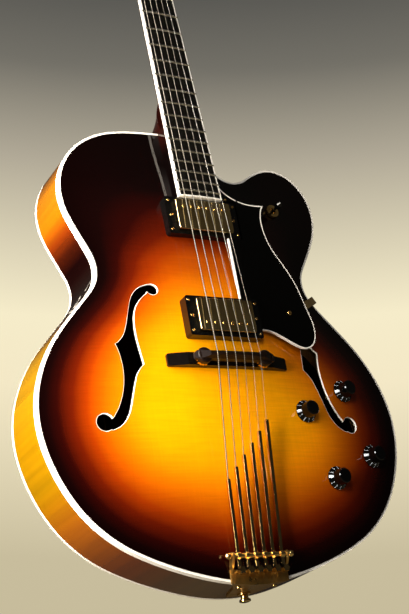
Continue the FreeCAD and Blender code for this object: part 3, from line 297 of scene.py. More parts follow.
@dataclass(frozen=True)
class AmberRimLacquer(Finish):
    """Amber lacquer on bent flamed maple: stripes across the rim, shaded dark at the waist, tail and neck.

    Attributes:
        run: height along the body, in metres, with the colour there; over the lower bout and at the tail end
        the colours are raised, a painted light where the lamps fall short.
        flame: size of the stripes along X, Y and Z, in millimetres.
        flame_tone: how far the stripes darken and lighten the colour.
    """

    # Painted light: the amber over the lower bout and at the very tail end is made lighter, for light the
    # lamps don't bring.
    run: tuple[tuple[float, str], ...] = (
        (0.0, "5a3e14"), (0.012, "4a2a0a"), (0.03, "592202"), (0.07, "844703"), (0.11, "7c5902"),
        (0.25, "7c5902"), (0.285, "4a2803"), (0.31, "0a0302"), (0.36, "0a0101"), (0.376, "2c0a02"),
        (0.39, "5e2003"), (0.41, "874a04"), (0.44, "7c4a05"), (0.49, "140603"))
    flame: tuple[float, float, float] = (9.0, 260.0, 9.0)
    flame_tone: tuple[float, float] = (0.85, 1.1)

    def paint(self, tree: bpy.types.NodeTree, shader: bpy.types.Node) -> None:
        """Amber with flame stripes, under a clear coat.

        Args:
            tree: the material's node tree.
            shader: its principled shader.
        """
        stripes = self.figure(tree, self.flame, 2.0)
        colour = self.shade(tree, self.by_height(tree, self.run), stripes, self.flame_tone)
        fill(tree, shader, {**CLEAR_COAT, "Base Color": colour})


@dataclass(frozen=True)
class NeckLacquer(Finish):
    """Tinted lacquer on the neck: black at the heel, clearing to cherry up the shaft, darker at the head.

    Attributes:
        run: height along the neck, in metres, with the colour there.
        grain: size of the wood's grain along X, Y and Z, in millimetres.
        grain_tone: how far the grain darkens and lightens the colour.
    """

    run: tuple[tuple[float, str], ...] = (
        (0.49, "040202"), (0.525, "1c0604"), (0.62, "2c0a06"), (0.88, "2c0a06"), (0.96, "140504"))
    grain: tuple[float, float, float] = (2.2, 2.2, 160.0)
    grain_tone: tuple[float, float] = (0.65, 1.35)

    def paint(self, tree: bpy.types.NodeTree, shader: bpy.types.Node) -> None:
        """Tint by height with the grain along the neck, under a clear coat.

        Args:
            tree: the material's node tree.
            shader: its principled shader.
        """
        grain = self.figure(tree, self.grain)
        colour = self.shade(tree, self.by_height(tree, self.run), grain, self.grain_tone)
        fill(tree, shader, {**CLEAR_COAT, "Base Color": colour})


@dataclass(frozen=True)
class GrainedFinish(Finish):
    """A plain colour with a stretched grain: wood, bone, binding plastic or moulded plastic.

    Attributes:
        colour: main colour.
        grain: size of the grain along X, Y and Z, in millimetres.
        contrast: how far the grain darkens and lightens the colour.
        roughness: of the surface under any coat.
        gloss: specular level of that surface.
        coat: weight of a clear coat.
        relief: height of the grain, in millimetres.
    """

    colour: str = "808080"
    grain: tuple[float, float, float] = (2.0, 2.0, 2.0)
    contrast: float = 0.1
    roughness: float = 0.4
    gloss: float = 0.5
    coat: float = 0.0
    relief: float = 0.0

    def paint(self, tree: bpy.types.NodeTree, shader: bpy.types.Node) -> None:
        """Grain in the colour and in the roughness.

        Args:
            tree: the material's node tree.
            shader: its principled shader.
        """
        grain = self.figure(tree, self.grain)
        tone = add(tree, "ShaderNodeValToRGB", {"Fac": grain},
                   stops=((0.3, toned(self.colour, 1 - self.contrast)),
                          (0.7, toned(self.colour, 1 + self.contrast))))
        rough = add(tree, "ShaderNodeMapRange", {"Value": grain, 1: 0.2, 2: 0.8, 3: self.roughness * 0.8,
                                                 4: self.roughness * 1.25})
        fill(tree, shader, {"Base Color": tone.outputs["Color"], "Roughness": rough.outputs["Result"],
                            "Specular IOR Level": self.gloss, "Coat Weight": self.coat,
                            "Coat Roughness": CLEAR_COAT["Coat Roughness"]})
        if self.relief:
            bump = add(tree, "ShaderNodeBump", {"Height": grain, "Distance": self.relief * MM})
            fill(tree, shader, {"Normal": bump.outputs["Normal"]})


@dataclass(frozen=True)
class PolishedMetal(Finish):
    """Plated or drawn metal: mirror-like, with faint polishing swirls and duller patches from handling.

    Attributes:
        colour: reflected colour.
        dulled: colour of the handled patches.
        roughness: of the clean polish.
        patch: size of the dull patches, in millimetres.
    """

    colour: str = "d9a94a"
    dulled: str = "9a7330"
    roughness: float = 0.14
    patch: float = 14.0

    def paint(self, tree: bpy.types.NodeTree, shader: bpy.types.Node) -> None:
        """Patches in the colour and the roughness.

        Args:
            tree: the material's node tree.
            shader: its principled shader.
        """
        tarnish = self.figure(tree, (self.patch,) * 3, 5.0)
        tint = add(tree, "ShaderNodeValToRGB", {"Fac": tarnish},
                   stops=((0.35, self.colour), (0.75, self.dulled)))
        rough = add(tree, "ShaderNodeMapRange", {"Value": tarnish, 1: 0.3, 2: 0.7, 3: self.roughness * 0.7,
                                                 4: self.roughness * 1.6})
        fill(tree, shader, {"Base Color": tint.outputs["Color"], "Roughness": rough.outputs["Result"],
                            "Metallic": 1.0})


@dataclass(frozen=True)
class WoundString(Finish):
    """Steel string wrapped in fine wire: bright turns with dark gaps, drawn coarser than they are, to show.

    Attributes:
        wrap: spacing of the drawn turns, in millimetres.
        relief: height of a turn, in millimetres.
        gap: colour between the turns, a painted shade of the grooves there.
        turn: colour of the turns.
    """

    wrap: float = 2.2
    relief: float = 0.1
    gap: str = "1b1814"
    turn: str = "5e594f"

    def paint(self, tree: bpy.types.NodeTree, shader: bpy.types.Node) -> None:
        """Bands across the string.

        Args:
            tree: the material's node tree.
            shader: its principled shader.
        """
        spot = add(tree, "ShaderNodeTexCoord")
        # A wave of scale 1 repeats every tenth of pi.
        bands = add(tree, "ShaderNodeTexWave", {"Vector": spot.outputs["Object"],
                                                "Scale": per(self.wrap) * math.pi / 10}, bands_direction="Z")
        # Painted shade: the grooves between the turns are coloured dark.
        tint = add(tree, "ShaderNodeValToRGB", {"Fac": bands.outputs["Fac"]},
                   stops=((0.0, self.gap), (0.6, self.turn)))
        bump = add(tree, "ShaderNodeBump", {"Height": bands.outputs["Fac"], "Distance": self.relief * MM})
        fill(tree, shader, {"Base Color": tint.outputs["Color"], "Normal": bump.outputs["Normal"],
                            "Metallic": 1.0, "Roughness": 0.3})


TOP_LACQUER = SunburstLacquer("sunburst_with_painted_light_and_shade_on_spruce")
BACK_LACQUER = SunburstLacquer("sunburst_with_painted_light_and_shade_on_maple", wood=Wood.FLAMED_MAPLE)
RIM_LACQUER = AmberRimLacquer("amber_lacquer_and_painted_light_on_maple")
NECK_LACQUER = NeckLacquer("dark_cherry_lacquer_on_maple")
# Black lacquer on the head's face veneer: a deep even gloss, with the grain just felt.
HEAD_LACQUER = GrainedFinish("black_lacquer_on_veneer", colour="060505", grain=(1.5, 1.5, 90.0), contrast=0.3,
                             roughness=0.2, coat=1.0)
# Celluloid binding: smooth, warm white, scraped and buffed.
BINDING = GrainedFinish("buffed_white_binding", colour="f6f2ec", grain=(6.0, 6.0, 6.0), contrast=0.04,
                        roughness=0.3, coat=0.4)
# Dark dull sheet behind the sound hole bindings, reaching into the body: a painted shade for the shadow
# inside.
HOLE_SHADE = GrainedFinish("painted_shade_in_sound_holes", colour="0a0402", grain=(1.4, 1.4, 60.0),
                             contrast=0.4, roughness=0.7, gloss=0.1)
# Bare spruce inside the body: pale and dull, with the marks of the plane.
SPRUCE = GrainedFinish("planed_spruce", colour="b98a52", grain=(1.4, 1.4, 120.0), contrast=0.18,
                       roughness=0.6, relief=0.02)
# Ebony of the board: nearly black, with brown streaks and open pores along the grain.
EBONY = GrainedFinish("oiled_ebony", colour="0a0806", grain=(1.2, 1.2, 45.0), contrast=0.5, roughness=0.38,
                      gloss=0.15, relief=0.03)
# Ebony of the bridge: cut across the body and polished, so it has a quiet sheen.
BRIDGE_EBONY = GrainedFinish("polished_ebony", colour="0a0706", grain=(45.0, 1.5, 1.2), contrast=0.4,
                             roughness=0.2, gloss=0.25, relief=0.01)
# Saddle: brown-streaked ebony.
SADDLE_EBONY = GrainedFinish("brown_streaked_ebony", colour="140b07", grain=(45.0, 1.5, 1.2), contrast=0.4,
                             roughness=0.32, gloss=0.18, relief=0.01)
# Bone of the nut: cream, with faint streaks, rubbed to a soft shine.
BONE = GrainedFinish("polished_bone", colour="e8dfc9", grain=(8.0, 1.5, 1.5), contrast=0.06, roughness=0.3)
# Nickel silver frets: crowned and polished, a pale line of light each.
FRET_WIRE = PolishedMetal("crowned_fret_wire", colour="d8d5cc", dulled="a8a49a", roughness=0.2)
# Gold plate of the small hardware: bright, with dull warm patches where it is handled.
GOLD = PolishedMetal("polished_gold_plate", colour="e6c685", dulled="b48e54", roughness=0.13)
# Tail plate: brushed before plating, so its sheen is broad.
BRUSHED_GOLD = PolishedMetal("brushed_gold_plate", colour="d0a45a", dulled="94703a", roughness=0.32)
# Covers: plate worn thin by the picking hand, so paler and less yellow than the screws.
COVER_GOLD = PolishedMetal("worn_gold_plate", colour="cdb98c", dulled="b39a66", roughness=0.09, patch=26.0)
# Truss rod: turned steel, grey with a broad sheen.
STEEL = PolishedMetal("plain_turned_steel", colour="b9b9b6", dulled="86857f", roughness=0.28)
# Plain strings: drawn wire, grey until a lamp runs along it.
PLAIN_STRING = PolishedMetal("drawn_plain_string", colour="77736a", dulled="5a564e", roughness=0.25)
WOUND_STRING = WoundString("wrapped_string")
# Compression-moulded knobs: deep black with faint swirls and small hard gleams.
BLACK_PLASTIC = GrainedFinish("buffed_black_plastic", colour="020202", grain=(3.0, 3.0, 3.0), contrast=0.3,
                              roughness=0.07, gloss=0.28)
# Sheet celluloid of the finger rest: flat and buffed, so it mirrors dark surroundings, almost pure black.
REST_PLASTIC = GrainedFinish("buffed_black_celluloid", colour="010101", grain=(4.0, 4.0, 4.0), contrast=0.3,
                             roughness=0.06, gloss=0.2)
# Moulded pickup rings: black with the slight haze of the mould.
RING_PLASTIC = GrainedFinish("moulded_black_plastic", colour="040404", grain=(1.5, 1.5, 1.5), contrast=0.3,
                             roughness=0.22, gloss=0.35)
# Engraved dials filled with paint: greyed white, smooth under the fingers.
PRINT = GrainedFinish("white_filled_engraving", colour="8e9297", grain=(1.0, 1.0, 1.0), contrast=0.08,
                      roughness=0.1)
# Floor paint: pale and matt, with a faint mottle.
FLOOR_PAINT = GrainedFinish("painted_studio_floor", colour="d3cab2", grain=(90.0, 90.0, 90.0), contrast=0.03,
                            roughness=0.8)


# Bench work


def deselect() -> None:
    """Leave edit mode and select nothing."""
    if bpy.context.mode != "OBJECT":
        bpy.ops.object.mode_set(mode="OBJECT")
    bpy.ops.object.select_all(action="DESELECT")


def activate(pieces: Sequence[bpy.types.Object]) -> None:
    """Select only these pieces.

    Args:
        pieces: the first one is made active.
    """
    deselect()
    for piece in pieces:
        piece.select_set(True)
    bpy.context.view_layer.objects.active = pieces[0]


@contextmanager
def editing(piece: bpy.types.Object) -> Iterator[None]:
    """Open a piece in edit mode with all of it selected, and close it again.

    Args:
        piece: the mesh to open.
    """
    activate([piece])
    bpy.ops.object.mode_set(mode="EDIT")
    bpy.ops.mesh.select_all(action="SELECT")
    yield
    bpy.ops.object.mode_set(mode="OBJECT")


def pick_faces(piece: bpy.types.Object, keep: Callable[[bpy.types.MeshPolygon], bool]) -> None:
    """Open a piece in edit mode with only some faces selected.

    Args:
        piece: the mesh to open.
        keep: says whether a face is selected.
    """
    activate([piece])
    bpy.ops.object.mode_set(mode="EDIT")
    bpy.ops.mesh.select_mode(type="FACE")
    bpy.ops.mesh.select_all(action="DESELECT")
    bpy.ops.object.mode_set(mode="OBJECT")
    for face in piece.data.polygons:
        face.select = keep(face)
    bpy.ops.object.mode_set(mode="EDIT")


def apply_modifier(piece: bpy.types.Object, kind: str, **settings) -> None:
    """Add a modifier with its settings and apply it at once.

    Args:
        piece: the mesh that it changes.
        kind: the modifier's type.
        settings: its own options.
    """
    activate([piece])
    modifier = piece.modifiers.new(kind.lower(), kind)
    for name, value in settings.items():
        setattr(modifier, name, value)
    bpy.ops.object.modifier_apply(modifier=modifier.name)


def smooth(piece: bpy.types.Object, angle: float = 35.0) -> None:
    """Shade a piece smooth up to an angle in degrees."""
    activate([piece])
    bpy.ops.object.shade_smooth_by_angle(angle=math.radians(angle))


def new_piece(name: str, mesh: bpy.types.Mesh) -> bpy.types.Object:
    """Put a mesh into the scene as a piece at the origin.

    Args:
        name: of the piece.
        mesh: its mesh.

    Returns:
        The piece.
    """
    piece = bpy.data.objects.new(name, mesh)
    bpy.context.scene.collection.objects.link(piece)
    return piece


def merged_copy(node: str, name: str) -> bpy.types.Object:
    """Copy a solid's mesh with its doubled corners merged and its own smooth normals kept.

    Args:
        node: name of the solid.
        name: name of the new piece.

    Returns:
        The copy, at the origin.
    """
    source = frame["nodes"][node].data
    spots: dict[tuple, int] = {}
    index = [spots.setdefault(tuple(round(c, WELD_DIGITS) for c in corner.co), len(spots))
             for corner in source.vertices]
    faces = []
    normals = []
    for face in source.polygons:
        corners = [index[number] for number in face.vertices]
        if len(set(corners)) == len(corners):
            faces.append(corners)
            normals.extend(source.corner_normals[loop].vector.copy() for loop in face.loop_indices)
    mesh = bpy.data.meshes.new(name)
    mesh.from_pydata(list(spots), [], faces)
    mesh.shade_smooth()
    mesh.normals_split_custom_set(normals)
    return new_piece(name, mesh)


def drop_normals(piece: bpy.types.Object) -> None:
    """Let go of a copy's kept normals, before its shape is changed."""
    with editing(piece):
        bpy.ops.mesh.customdata_custom_splitnormals_clear()


def facing(point: Vector, way: Vector, turn: float = 0.0) -> Matrix:
    """Place of a model whose own Z looks along a direction.

    Args:
        point: where its foot stands.
        way: the direction that it looks along.
        turn: turn about that direction, in radians.

    Returns:
        The place as a matrix.
    """
    return (Matrix.Translation(point) @ way.to_track_quat("Z", "Y").to_matrix().to_4x4()
            @ Matrix.Rotation(turn, 4, "Z"))


def stamp(model: bpy.types.Object, places: Sequence[Matrix], name: str) -> bpy.types.Object:
    """Copy a model to each place and join the copies as one piece.

    Args:
        model: the model at the origin; it is removed.
        places: where the copies go.
        name: name of the joined piece.

    Returns:
        The joined piece.
    """
    copies = []
    for place in places:
        mesh = model.data.copy()
        mesh.transform(place)
        copies.append(new_piece(name, mesh))
    activate(copies)
    if len(copies) > 1:
        bpy.ops.object.join()
    bpy.data.objects.remove(model)
    piece = bpy.context.view_layer.objects.active
    piece.name = name
    return piece


def settle(piece: bpy.types.Object, finish: Finish, body: str, node: Optional[str] = None) -> None:
    """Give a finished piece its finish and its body.

    Args:
        piece: the finished piece.
        finish: what it is dressed in.
        body: the body that it moves with.
        node: the solid that it stands for.
    """
    if not piece.data.materials:
        piece.data.materials.append(finish.material())
    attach(piece, body)
    if node:
        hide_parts(node)
    LOG.info("%s: %d faces on %s", piece.name, len(piece.data.polygons), body)


def dress(finish: Finish, *nodes: str) -> None:
    """Give a finish to solids that stay as they are.

    Args:
        finish: what they are dressed in.
        nodes: names of the solids.
    """
    for node in nodes:
        slots = frame["nodes"][node].data.materials
        slots.clear()
        slots.append(finish.material())
        LOG.info("%s: %s", node, finish.name)


# Shares of a screw head's height: its rounded rim and how far a slot is cut.
RIM_SHARE = 0.45
SLOT_SHARE = 0.9
# Shares of its radius: a slot's length, and the width and length of a cross's arms.
SLOT_LENGTH = 3.0
ARM_WIDTH = 0.32
ARM_LENGTH = 1.1


def cut_slot(head: bpy.types.Object, width: float, length: float, height: float) -> None:
    """Cut a straight slot across the top of a screw head.

    Args:
        head: the screw head, standing on the origin along Z.
        width: of the slot along X, in millimetres.
        length: of the slot along Y, in millimetres.
        height: of the head, in millimetres.
    """
    deselect()
    bpy.ops.mesh.primitive_cube_add(size=MM, location=(0, 0, height * MM))
    cutter = bpy.context.object
    bpy.ops.transform.resize(value=(width, length, height * SLOT_SHARE))
    bpy.ops.object.transform_apply(location=True, scale=True)
    apply_modifier(head, "BOOLEAN", object=cutter, operation="DIFFERENCE", solver="EXACT")
    bpy.data.objects.remove(cutter)


def slotted_screw(radius: float, height: float, slot: float) -> bpy.types.Object:
    """Model a screw head with a rounded rim and a straight slot, standing on the origin along Z.

    Args:
        radius: of the head, in millimetres.
        height: of the head, in millimetres.
        slot: width of its slot, in millimetres.

    Returns:
        The model.
    """
    deselect()
    bpy.ops.mesh.primitive_cylinder_add(vertices=28, radius=radius * MM, depth=height * MM,
                                        location=(0, 0, height * MM / 2))
    head = bpy.context.object
    bpy.ops.object.transform_apply(location=True)
    pick_faces(head, lambda face: face.normal.z > SQUARE_ON)
    bpy.ops.mesh.bevel(offset=height * RIM_SHARE * MM, segments=3, affect="EDGES")
    cut_slot(head, slot, radius * SLOT_LENGTH, height)
    smooth(head)
    return head


def cross_screw(radius: float, height: float) -> bpy.types.Object:
    """Model a domed screw head with a cross recess, standing on the origin along Z.

    Args:
        radius: of the head, in millimetres.
        height: of the head, in millimetres.

    Returns:
        The model.
    """
    head = slotted_screw(radius, height, radius * ARM_WIDTH)
    cut_slot(head, radius * ARM_LENGTH, radius * ARM_WIDTH, height)
    return head


def vertices_between(node: str, low: float, high: float) -> tuple[Vector, Vector]:
    """Box of a solid's corners between two heights.

    Args:
        node: name of the solid.
        low: lowest height, in metres.
        high: highest height, in metres.

    Returns:
        Lowest and highest corner.
    """
    spots = [corner.co for corner in frame["nodes"][node].data.vertices if low <= corner.co.z <= high]
    return (Vector(min(spot[axis] for spot in spots) for axis in range(3)),
            Vector(max(spot[axis] for spot in spots) for axis in range(3)))


# Sub-assemblies


@dataclass
class SoundBox:
    """Top, back, rim and their bindings.

    Attributes:
        burst_reach: distance from the edge where the burst is fully open, in millimetres.
        burst_narrowing: height along the body, in millimetres, with what the distance is multiplied by there.
        burst_limit: height along the body with the largest distance that counts there, in millimetres.
        bass_spread: height along the body with what the distance is multiplied by on the bass side: a painted
            light, which makes the burst paler there, where the lamp falls.
        spread_width: distance from the middle over which that painted light comes in, in millimetres.
        ease: how sharply the largest distance takes over.
        inside_share: the burst's share on the inner faces, a painted shade: they are coloured dark like the
        shadowed inside of the body seen through the sound holes.
        binding_width: of the top's edge binding, in millimetres.
        hole_across: distances from the middle that the sound holes lie between, in millimetres.
        hole_along: heights that they lie between, in millimetres.
        control_clear: distance from a control's shaft to where its bore has ended, in millimetres.
        wall_slope: largest share of a face's normal along Y on a sound hole's wall.
        face_slope: least share of it on the top's own face.
        hole_binding: wall of the sound hole bindings, in millimetres.
        hole_depth: how far those reach in from the top's face, in millimetres.
        stain_wall: thickness of the painted shade behind them, in millimetres.
        stain_depth: how far the painted shade reaches in, in millimetres; more than the top is thick.
    """

    burst_reach: float = 140.0
    burst_narrowing: tuple[tuple[float, float], ...] = (
        (310, 1.0), (345, 0.84), (380, 0.42), (420, 0.2), (450, 0.06))
    burst_limit: tuple[tuple[float, float], ...] = (
        (220, 400), (262, 180), (300, 118), (340, 69), (380, 60), (430, 35))
    bass_spread: tuple[tuple[float, float], ...] = (
        (190, 1.0), (225, 1.12), (262, 1.25), (300, 1.12), (335, 1.0))
    spread_width: float = 60.0
    ease: float = 4.0
    inside_share: float = 0.1
    binding_width: float = 2.5
    hole_across: tuple[float, float] = (55.0, 172.0)
    hole_along: tuple[float, float] = (145.0, 325.0)
    control_clear: float = 8.0
    wall_slope: float = 0.4
    face_slope: float = 0.6
    hole_binding: float = 0.5
    hole_depth: float = 2.4
    stain_wall: float = 0.1
    stain_depth: float = 20.0

    @staticmethod
    def between(table: Sequence[tuple[float, float]], place: float) -> float:
        """Value of a table at a place, in a straight line between its rows.

        Args:
            table: places with their values.
            place: where the value is asked for.

        Returns:
            The value there.
        """
        if place <= table[0][0]:
            return table[0][1]
        for (low, first), (high, last) in zip(table, table[1:]):
            if place <= high:
                return first + (last - first) * (place - low) / (high - low)
        return table[-1][1]

    def spray(self, piece: bpy.types.Object, edge_y: float) -> None:
        """Write the burst's share on every corner of a plate.

        Args:
            piece: the plate.
            edge_y: depth of the plate's edge, in metres.
        """
        binding = frame["nodes"]["body_bindings"].data
        tree = BVHTree.FromPolygons([corner.co for corner in binding.vertices],
                                    [face.vertices[:] for face in binding.polygons])
        burst = piece.data.attributes.new("burst", "FLOAT", "POINT")
        for corner in piece.data.vertices:
            across, height = corner.co.x / MM, corner.co.z / MM
            gap = tree.find_nearest(Vector((corner.co.x, edge_y, corner.co.z)))[3] / MM + self.binding_width
            # Painted light: on the bass side the burst is stretched, so the top looks paler where the lamp
            # falls.
            bass = min(1.0, max(0.0, -across / self.spread_width))
            gap *= 1 + bass * (self.between(self.bass_spread, height) - 1)
            gap *= self.between(self.burst_narrowing, height)
            limit = self.between(self.burst_limit, height)
            eased = (gap ** -self.ease + limit ** -self.ease) ** (-1 / self.ease)
            # Painted shade: the inner faces take a near-black burst colour, for the shadow inside the body.
            inside = corner.normal.y * edge_y < 0
            burst.data[corner.index].value = self.inside_share if inside else eased / self.burst_reach

    def in_hole(self, face: bpy.types.MeshPolygon, shafts: Sequence[Vector]) -> bool:
        """Whether a face of the top is part of a sound hole's wall.

        Args:
            face: the face.
            shafts: places of the controls, whose bores are left out.

        Returns:
            True if it is.
        """
        across, height = abs(face.center.x) / MM, face.center.z / MM
        clear = all(math.hypot(face.center.x - shaft.x, face.center.z - shaft.z) > self.control_clear * MM
                    for shaft in shafts)
        return (clear and abs(face.normal.y) < self.wall_slope
                and self.hole_across[0] < across < self.hole_across[1]
                and self.hole_along[0] < height < self.hole_along[1])

    def hole_strip(self, name: str, wall: float, depth: float, finish: Finish) -> None:
        """Strip inside both sound holes: the holes' own walls, thickened into the hole.

        Args:
            name: of the piece.
            wall: its thickness, in millimetres.
            depth: how far it reaches in from the top's face, in millimetres.
            finish: what it is made of.
        """
        strip = merged_copy("top_plate", name)
        plate = strip.data
        outer = [face.vertices[:] for face in plate.polygons if face.normal.y < -self.face_slope]
        face_side = BVHTree.FromPolygons([corner.co for corner in plate.vertices], outer)
        shafts = [Vector(JOINTS[joint]["pos_m"]) for joint in JOINTS if joint.startswith("knob")]
        pick_faces(strip, lambda face: not self.in_hole(face, shafts))
        bpy.ops.mesh.delete(type="FACE")
        drop_normals(strip)
        for corner in strip.data.vertices:
            edge = face_side.find_nearest(corner.co)[0]
            inward = corner.co - edge
            if inward.length > depth * MM:
                corner.co = edge + inward.normalized() * depth * MM
        apply_modifier(strip, "SOLIDIFY", thickness=wall * MM, offset=1.0, use_even_offset=False)
        smooth(strip, angle=40.0)
        settle(strip, finish, "body")

    def build(self) -> None:
        """Plates with their burst, the sound hole bindings and the finishes of the rest."""
        front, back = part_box("body_bindings")[0].y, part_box("body_bindings")[1].y
        for node, finish, slot, edge in (("top_plate", TOP_LACQUER, "sunburst_spruce", front),
                                         ("back_plate", BACK_LACQUER, "sunburst_maple", back)):
            plate = merged_copy(node, node + "_burst")
            self.spray(plate, edge)
            settle(plate, finish, "body", node)
        self.hole_strip("sound_hole_bindings", self.hole_binding, self.hole_depth, BINDING)
        # Painted shade: a dark sheet inside each sound hole, where the body's inside lies in shadow.
        self.hole_strip("sound_hole_walls", self.stain_wall, self.stain_depth, HOLE_SHADE)
        dress(RIM_LACQUER, "rim")
        dress(BINDING, "body_bindings")
        dress(SPRUCE, "linings", "body_blocks", "tone_bars")


@dataclass
class NeckAndHead:
    """Neck, board, frets, nut and headstock, with the board's side dots.

    Attributes:
        dot_radius: of a side dot, in millimetres.
        dot_depth: of a side dot, in millimetres.
        dot_bevel: width of its rounded rim, in millimetres.
        dot_sink: of its middle under the binding's face, in millimetres.
        dot_gap: between the two dots of a pair, in millimetres.
        dot_frets: fret with the number of dots beside it.
        scale: string length, in millimetres.
        end_reach: length of the board's ends where its edge is measured, in millimetres.
        side_reach: width of that edge, in millimetres.
    """

    dot_radius: float = 1.1
    dot_depth: float = 0.5
    dot_bevel: float = 0.15
    dot_sink: float = 0.2
    dot_gap: float = 8.0
    dot_frets: tuple[tuple[int, int], ...] = (
        (3, 1), (5, 1), (7, 1), (9, 1), (12, 2), (15, 1), (17, 1), (19, 1))
    scale: float = 648.0
    end_reach: float = 3.0
    side_reach: float = 0.4

    def edge_spot(self, z: float) -> Vector:
        """Middle of the board's bass edge.

        Args:
            z: height, in metres.

        Returns:
            The spot there.
        """
        ends = []
        for end in (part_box("fretboard_binding")[0].z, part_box("fretboard_binding")[1].z):
            near = [corner.co for corner in frame["nodes"]["fretboard_binding"].data.vertices
                    if abs(corner.co.z - end) < self.end_reach * MM]
            side = min(spot.x for spot in near)
            edge = [spot.y for spot in near if spot.x < side + self.side_reach * MM]
            ends.append(Vector((side, (min(edge) + max(edge)) / 2, end)))
        return ends[0].lerp(ends[1], (z - ends[0].z) / (ends[1].z - ends[0].z))

    def side_dots(self) -> None:
        """Black dots let into the binding beside the frets."""
        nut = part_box("nut")[0].z
        places = []
        for fret, count in self.dot_frets:
            middle = sum(1 - 2 ** (-number / 12) for number in (fret - 1, fret)) / 2 * self.scale
            for number in range(count):
                z = nut - (middle + (number - (count - 1) / 2) * self.dot_gap) * MM
                places.append(facing(self.edge_spot(z) - BASSWARD * self.dot_sink * MM, BASSWARD))
        deselect()
        bpy.ops.mesh.primitive_cylinder_add(vertices=20, radius=self.dot_radius * MM,
                                            depth=self.dot_depth * MM)
        dot = bpy.context.object
        pick_faces(dot, lambda face: face.normal.z > SQUARE_ON)
        bpy.ops.mesh.bevel(offset=self.dot_bevel * MM, segments=2, affect="EDGES")
        smooth(dot)
        settle(stamp(dot, places, "side_dots"), BLACK_PLASTIC, "body")

    def build(self) -> None:
        """Finishes of the neck's solids and the side dots."""
        self.side_dots()
        dress(NECK_LACQUER, "neck")
        dress(EBONY, "fretboard")
        dress(BINDING, "fretboard_binding")
        dress(FRET_WIRE, "frets")
        dress(BONE, "nut")
        dress(HEAD_LACQUER, "headstock_veneer")
        dress(STEEL, "truss_rod")


@dataclass
class TuningMachines:
    """Six tuning machines with the strings wound on their posts.

    Attributes:
        post_radius: of a post, in millimetres.
        hole_drop: from a post's top to its string hole, in millimetres.
        turns: number of turns of string on a post.
        pitch_share: from turn to turn, as a share of the wire's radius.
        wires: radius of each string's wire, in millimetres.
        weld: distance within which the coil's doubled corners are merged, in millimetres.
    """

    post_radius: float = 3.0
    hole_drop: float = 4.5
    turns: int = 4
    pitch_share: float = 2.1
    wires: tuple[float, ...] = (0.60, 0.48, 0.36, 0.24, 0.20, 0.16)
    weld: float = 0.01

    def winding(self, number: int) -> None:
        """Turns of one string, one below the other, under the post's hole.

        Args:
            number: of the post, counted from one.
        """
        post = f"tuner_post_{number}"
        joint = JOINTS[post + "_turn"]
        foot = Vector(joint["pos_m"])
        way = Vector(joint["axis"]).normalized()
        top = max((corner.co - foot).dot(way) for corner in frame["nodes"][post].data.vertices)
        wire = self.wires[number - 1]
        deselect()
        bpy.ops.mesh.primitive_circle_add(vertices=10, radius=wire * MM, rotation=(math.pi / 2, 0, 0),
                                          location=((self.post_radius + wire) * MM, 0, 0))
        coil = bpy.context.object
        bpy.ops.object.transform_apply(location=True, rotation=True)
        apply_modifier(coil, "SCREW", axis="Z", angle=2 * math.pi, screw_offset=-self.pitch_share * wire * MM,
                       iterations=self.turns, steps=24, render_steps=24, use_smooth_shade=True)
        with editing(coil):
            bpy.ops.mesh.remove_doubles(threshold=self.weld * MM)
            bpy.ops.mesh.fill_holes(sides=0)
            bpy.ops.mesh.normals_make_consistent(inside=False)
        place = facing(foot + way * (top - (self.hole_drop - wire) * MM), way)
        settle(stamp(coil, [place], f"winding_{number}"), PLAIN_STRING, post)

    def build(self) -> None:
        """Gold finish on the housings, posts and buttons, and the windings."""
        dress(GOLD, "tuner_housings")
        for number in range(1, STRING_COUNT + 1):
            dress(GOLD, f"tuner_post_{number}", f"tuner_button_{number}")
            self.winding(number)


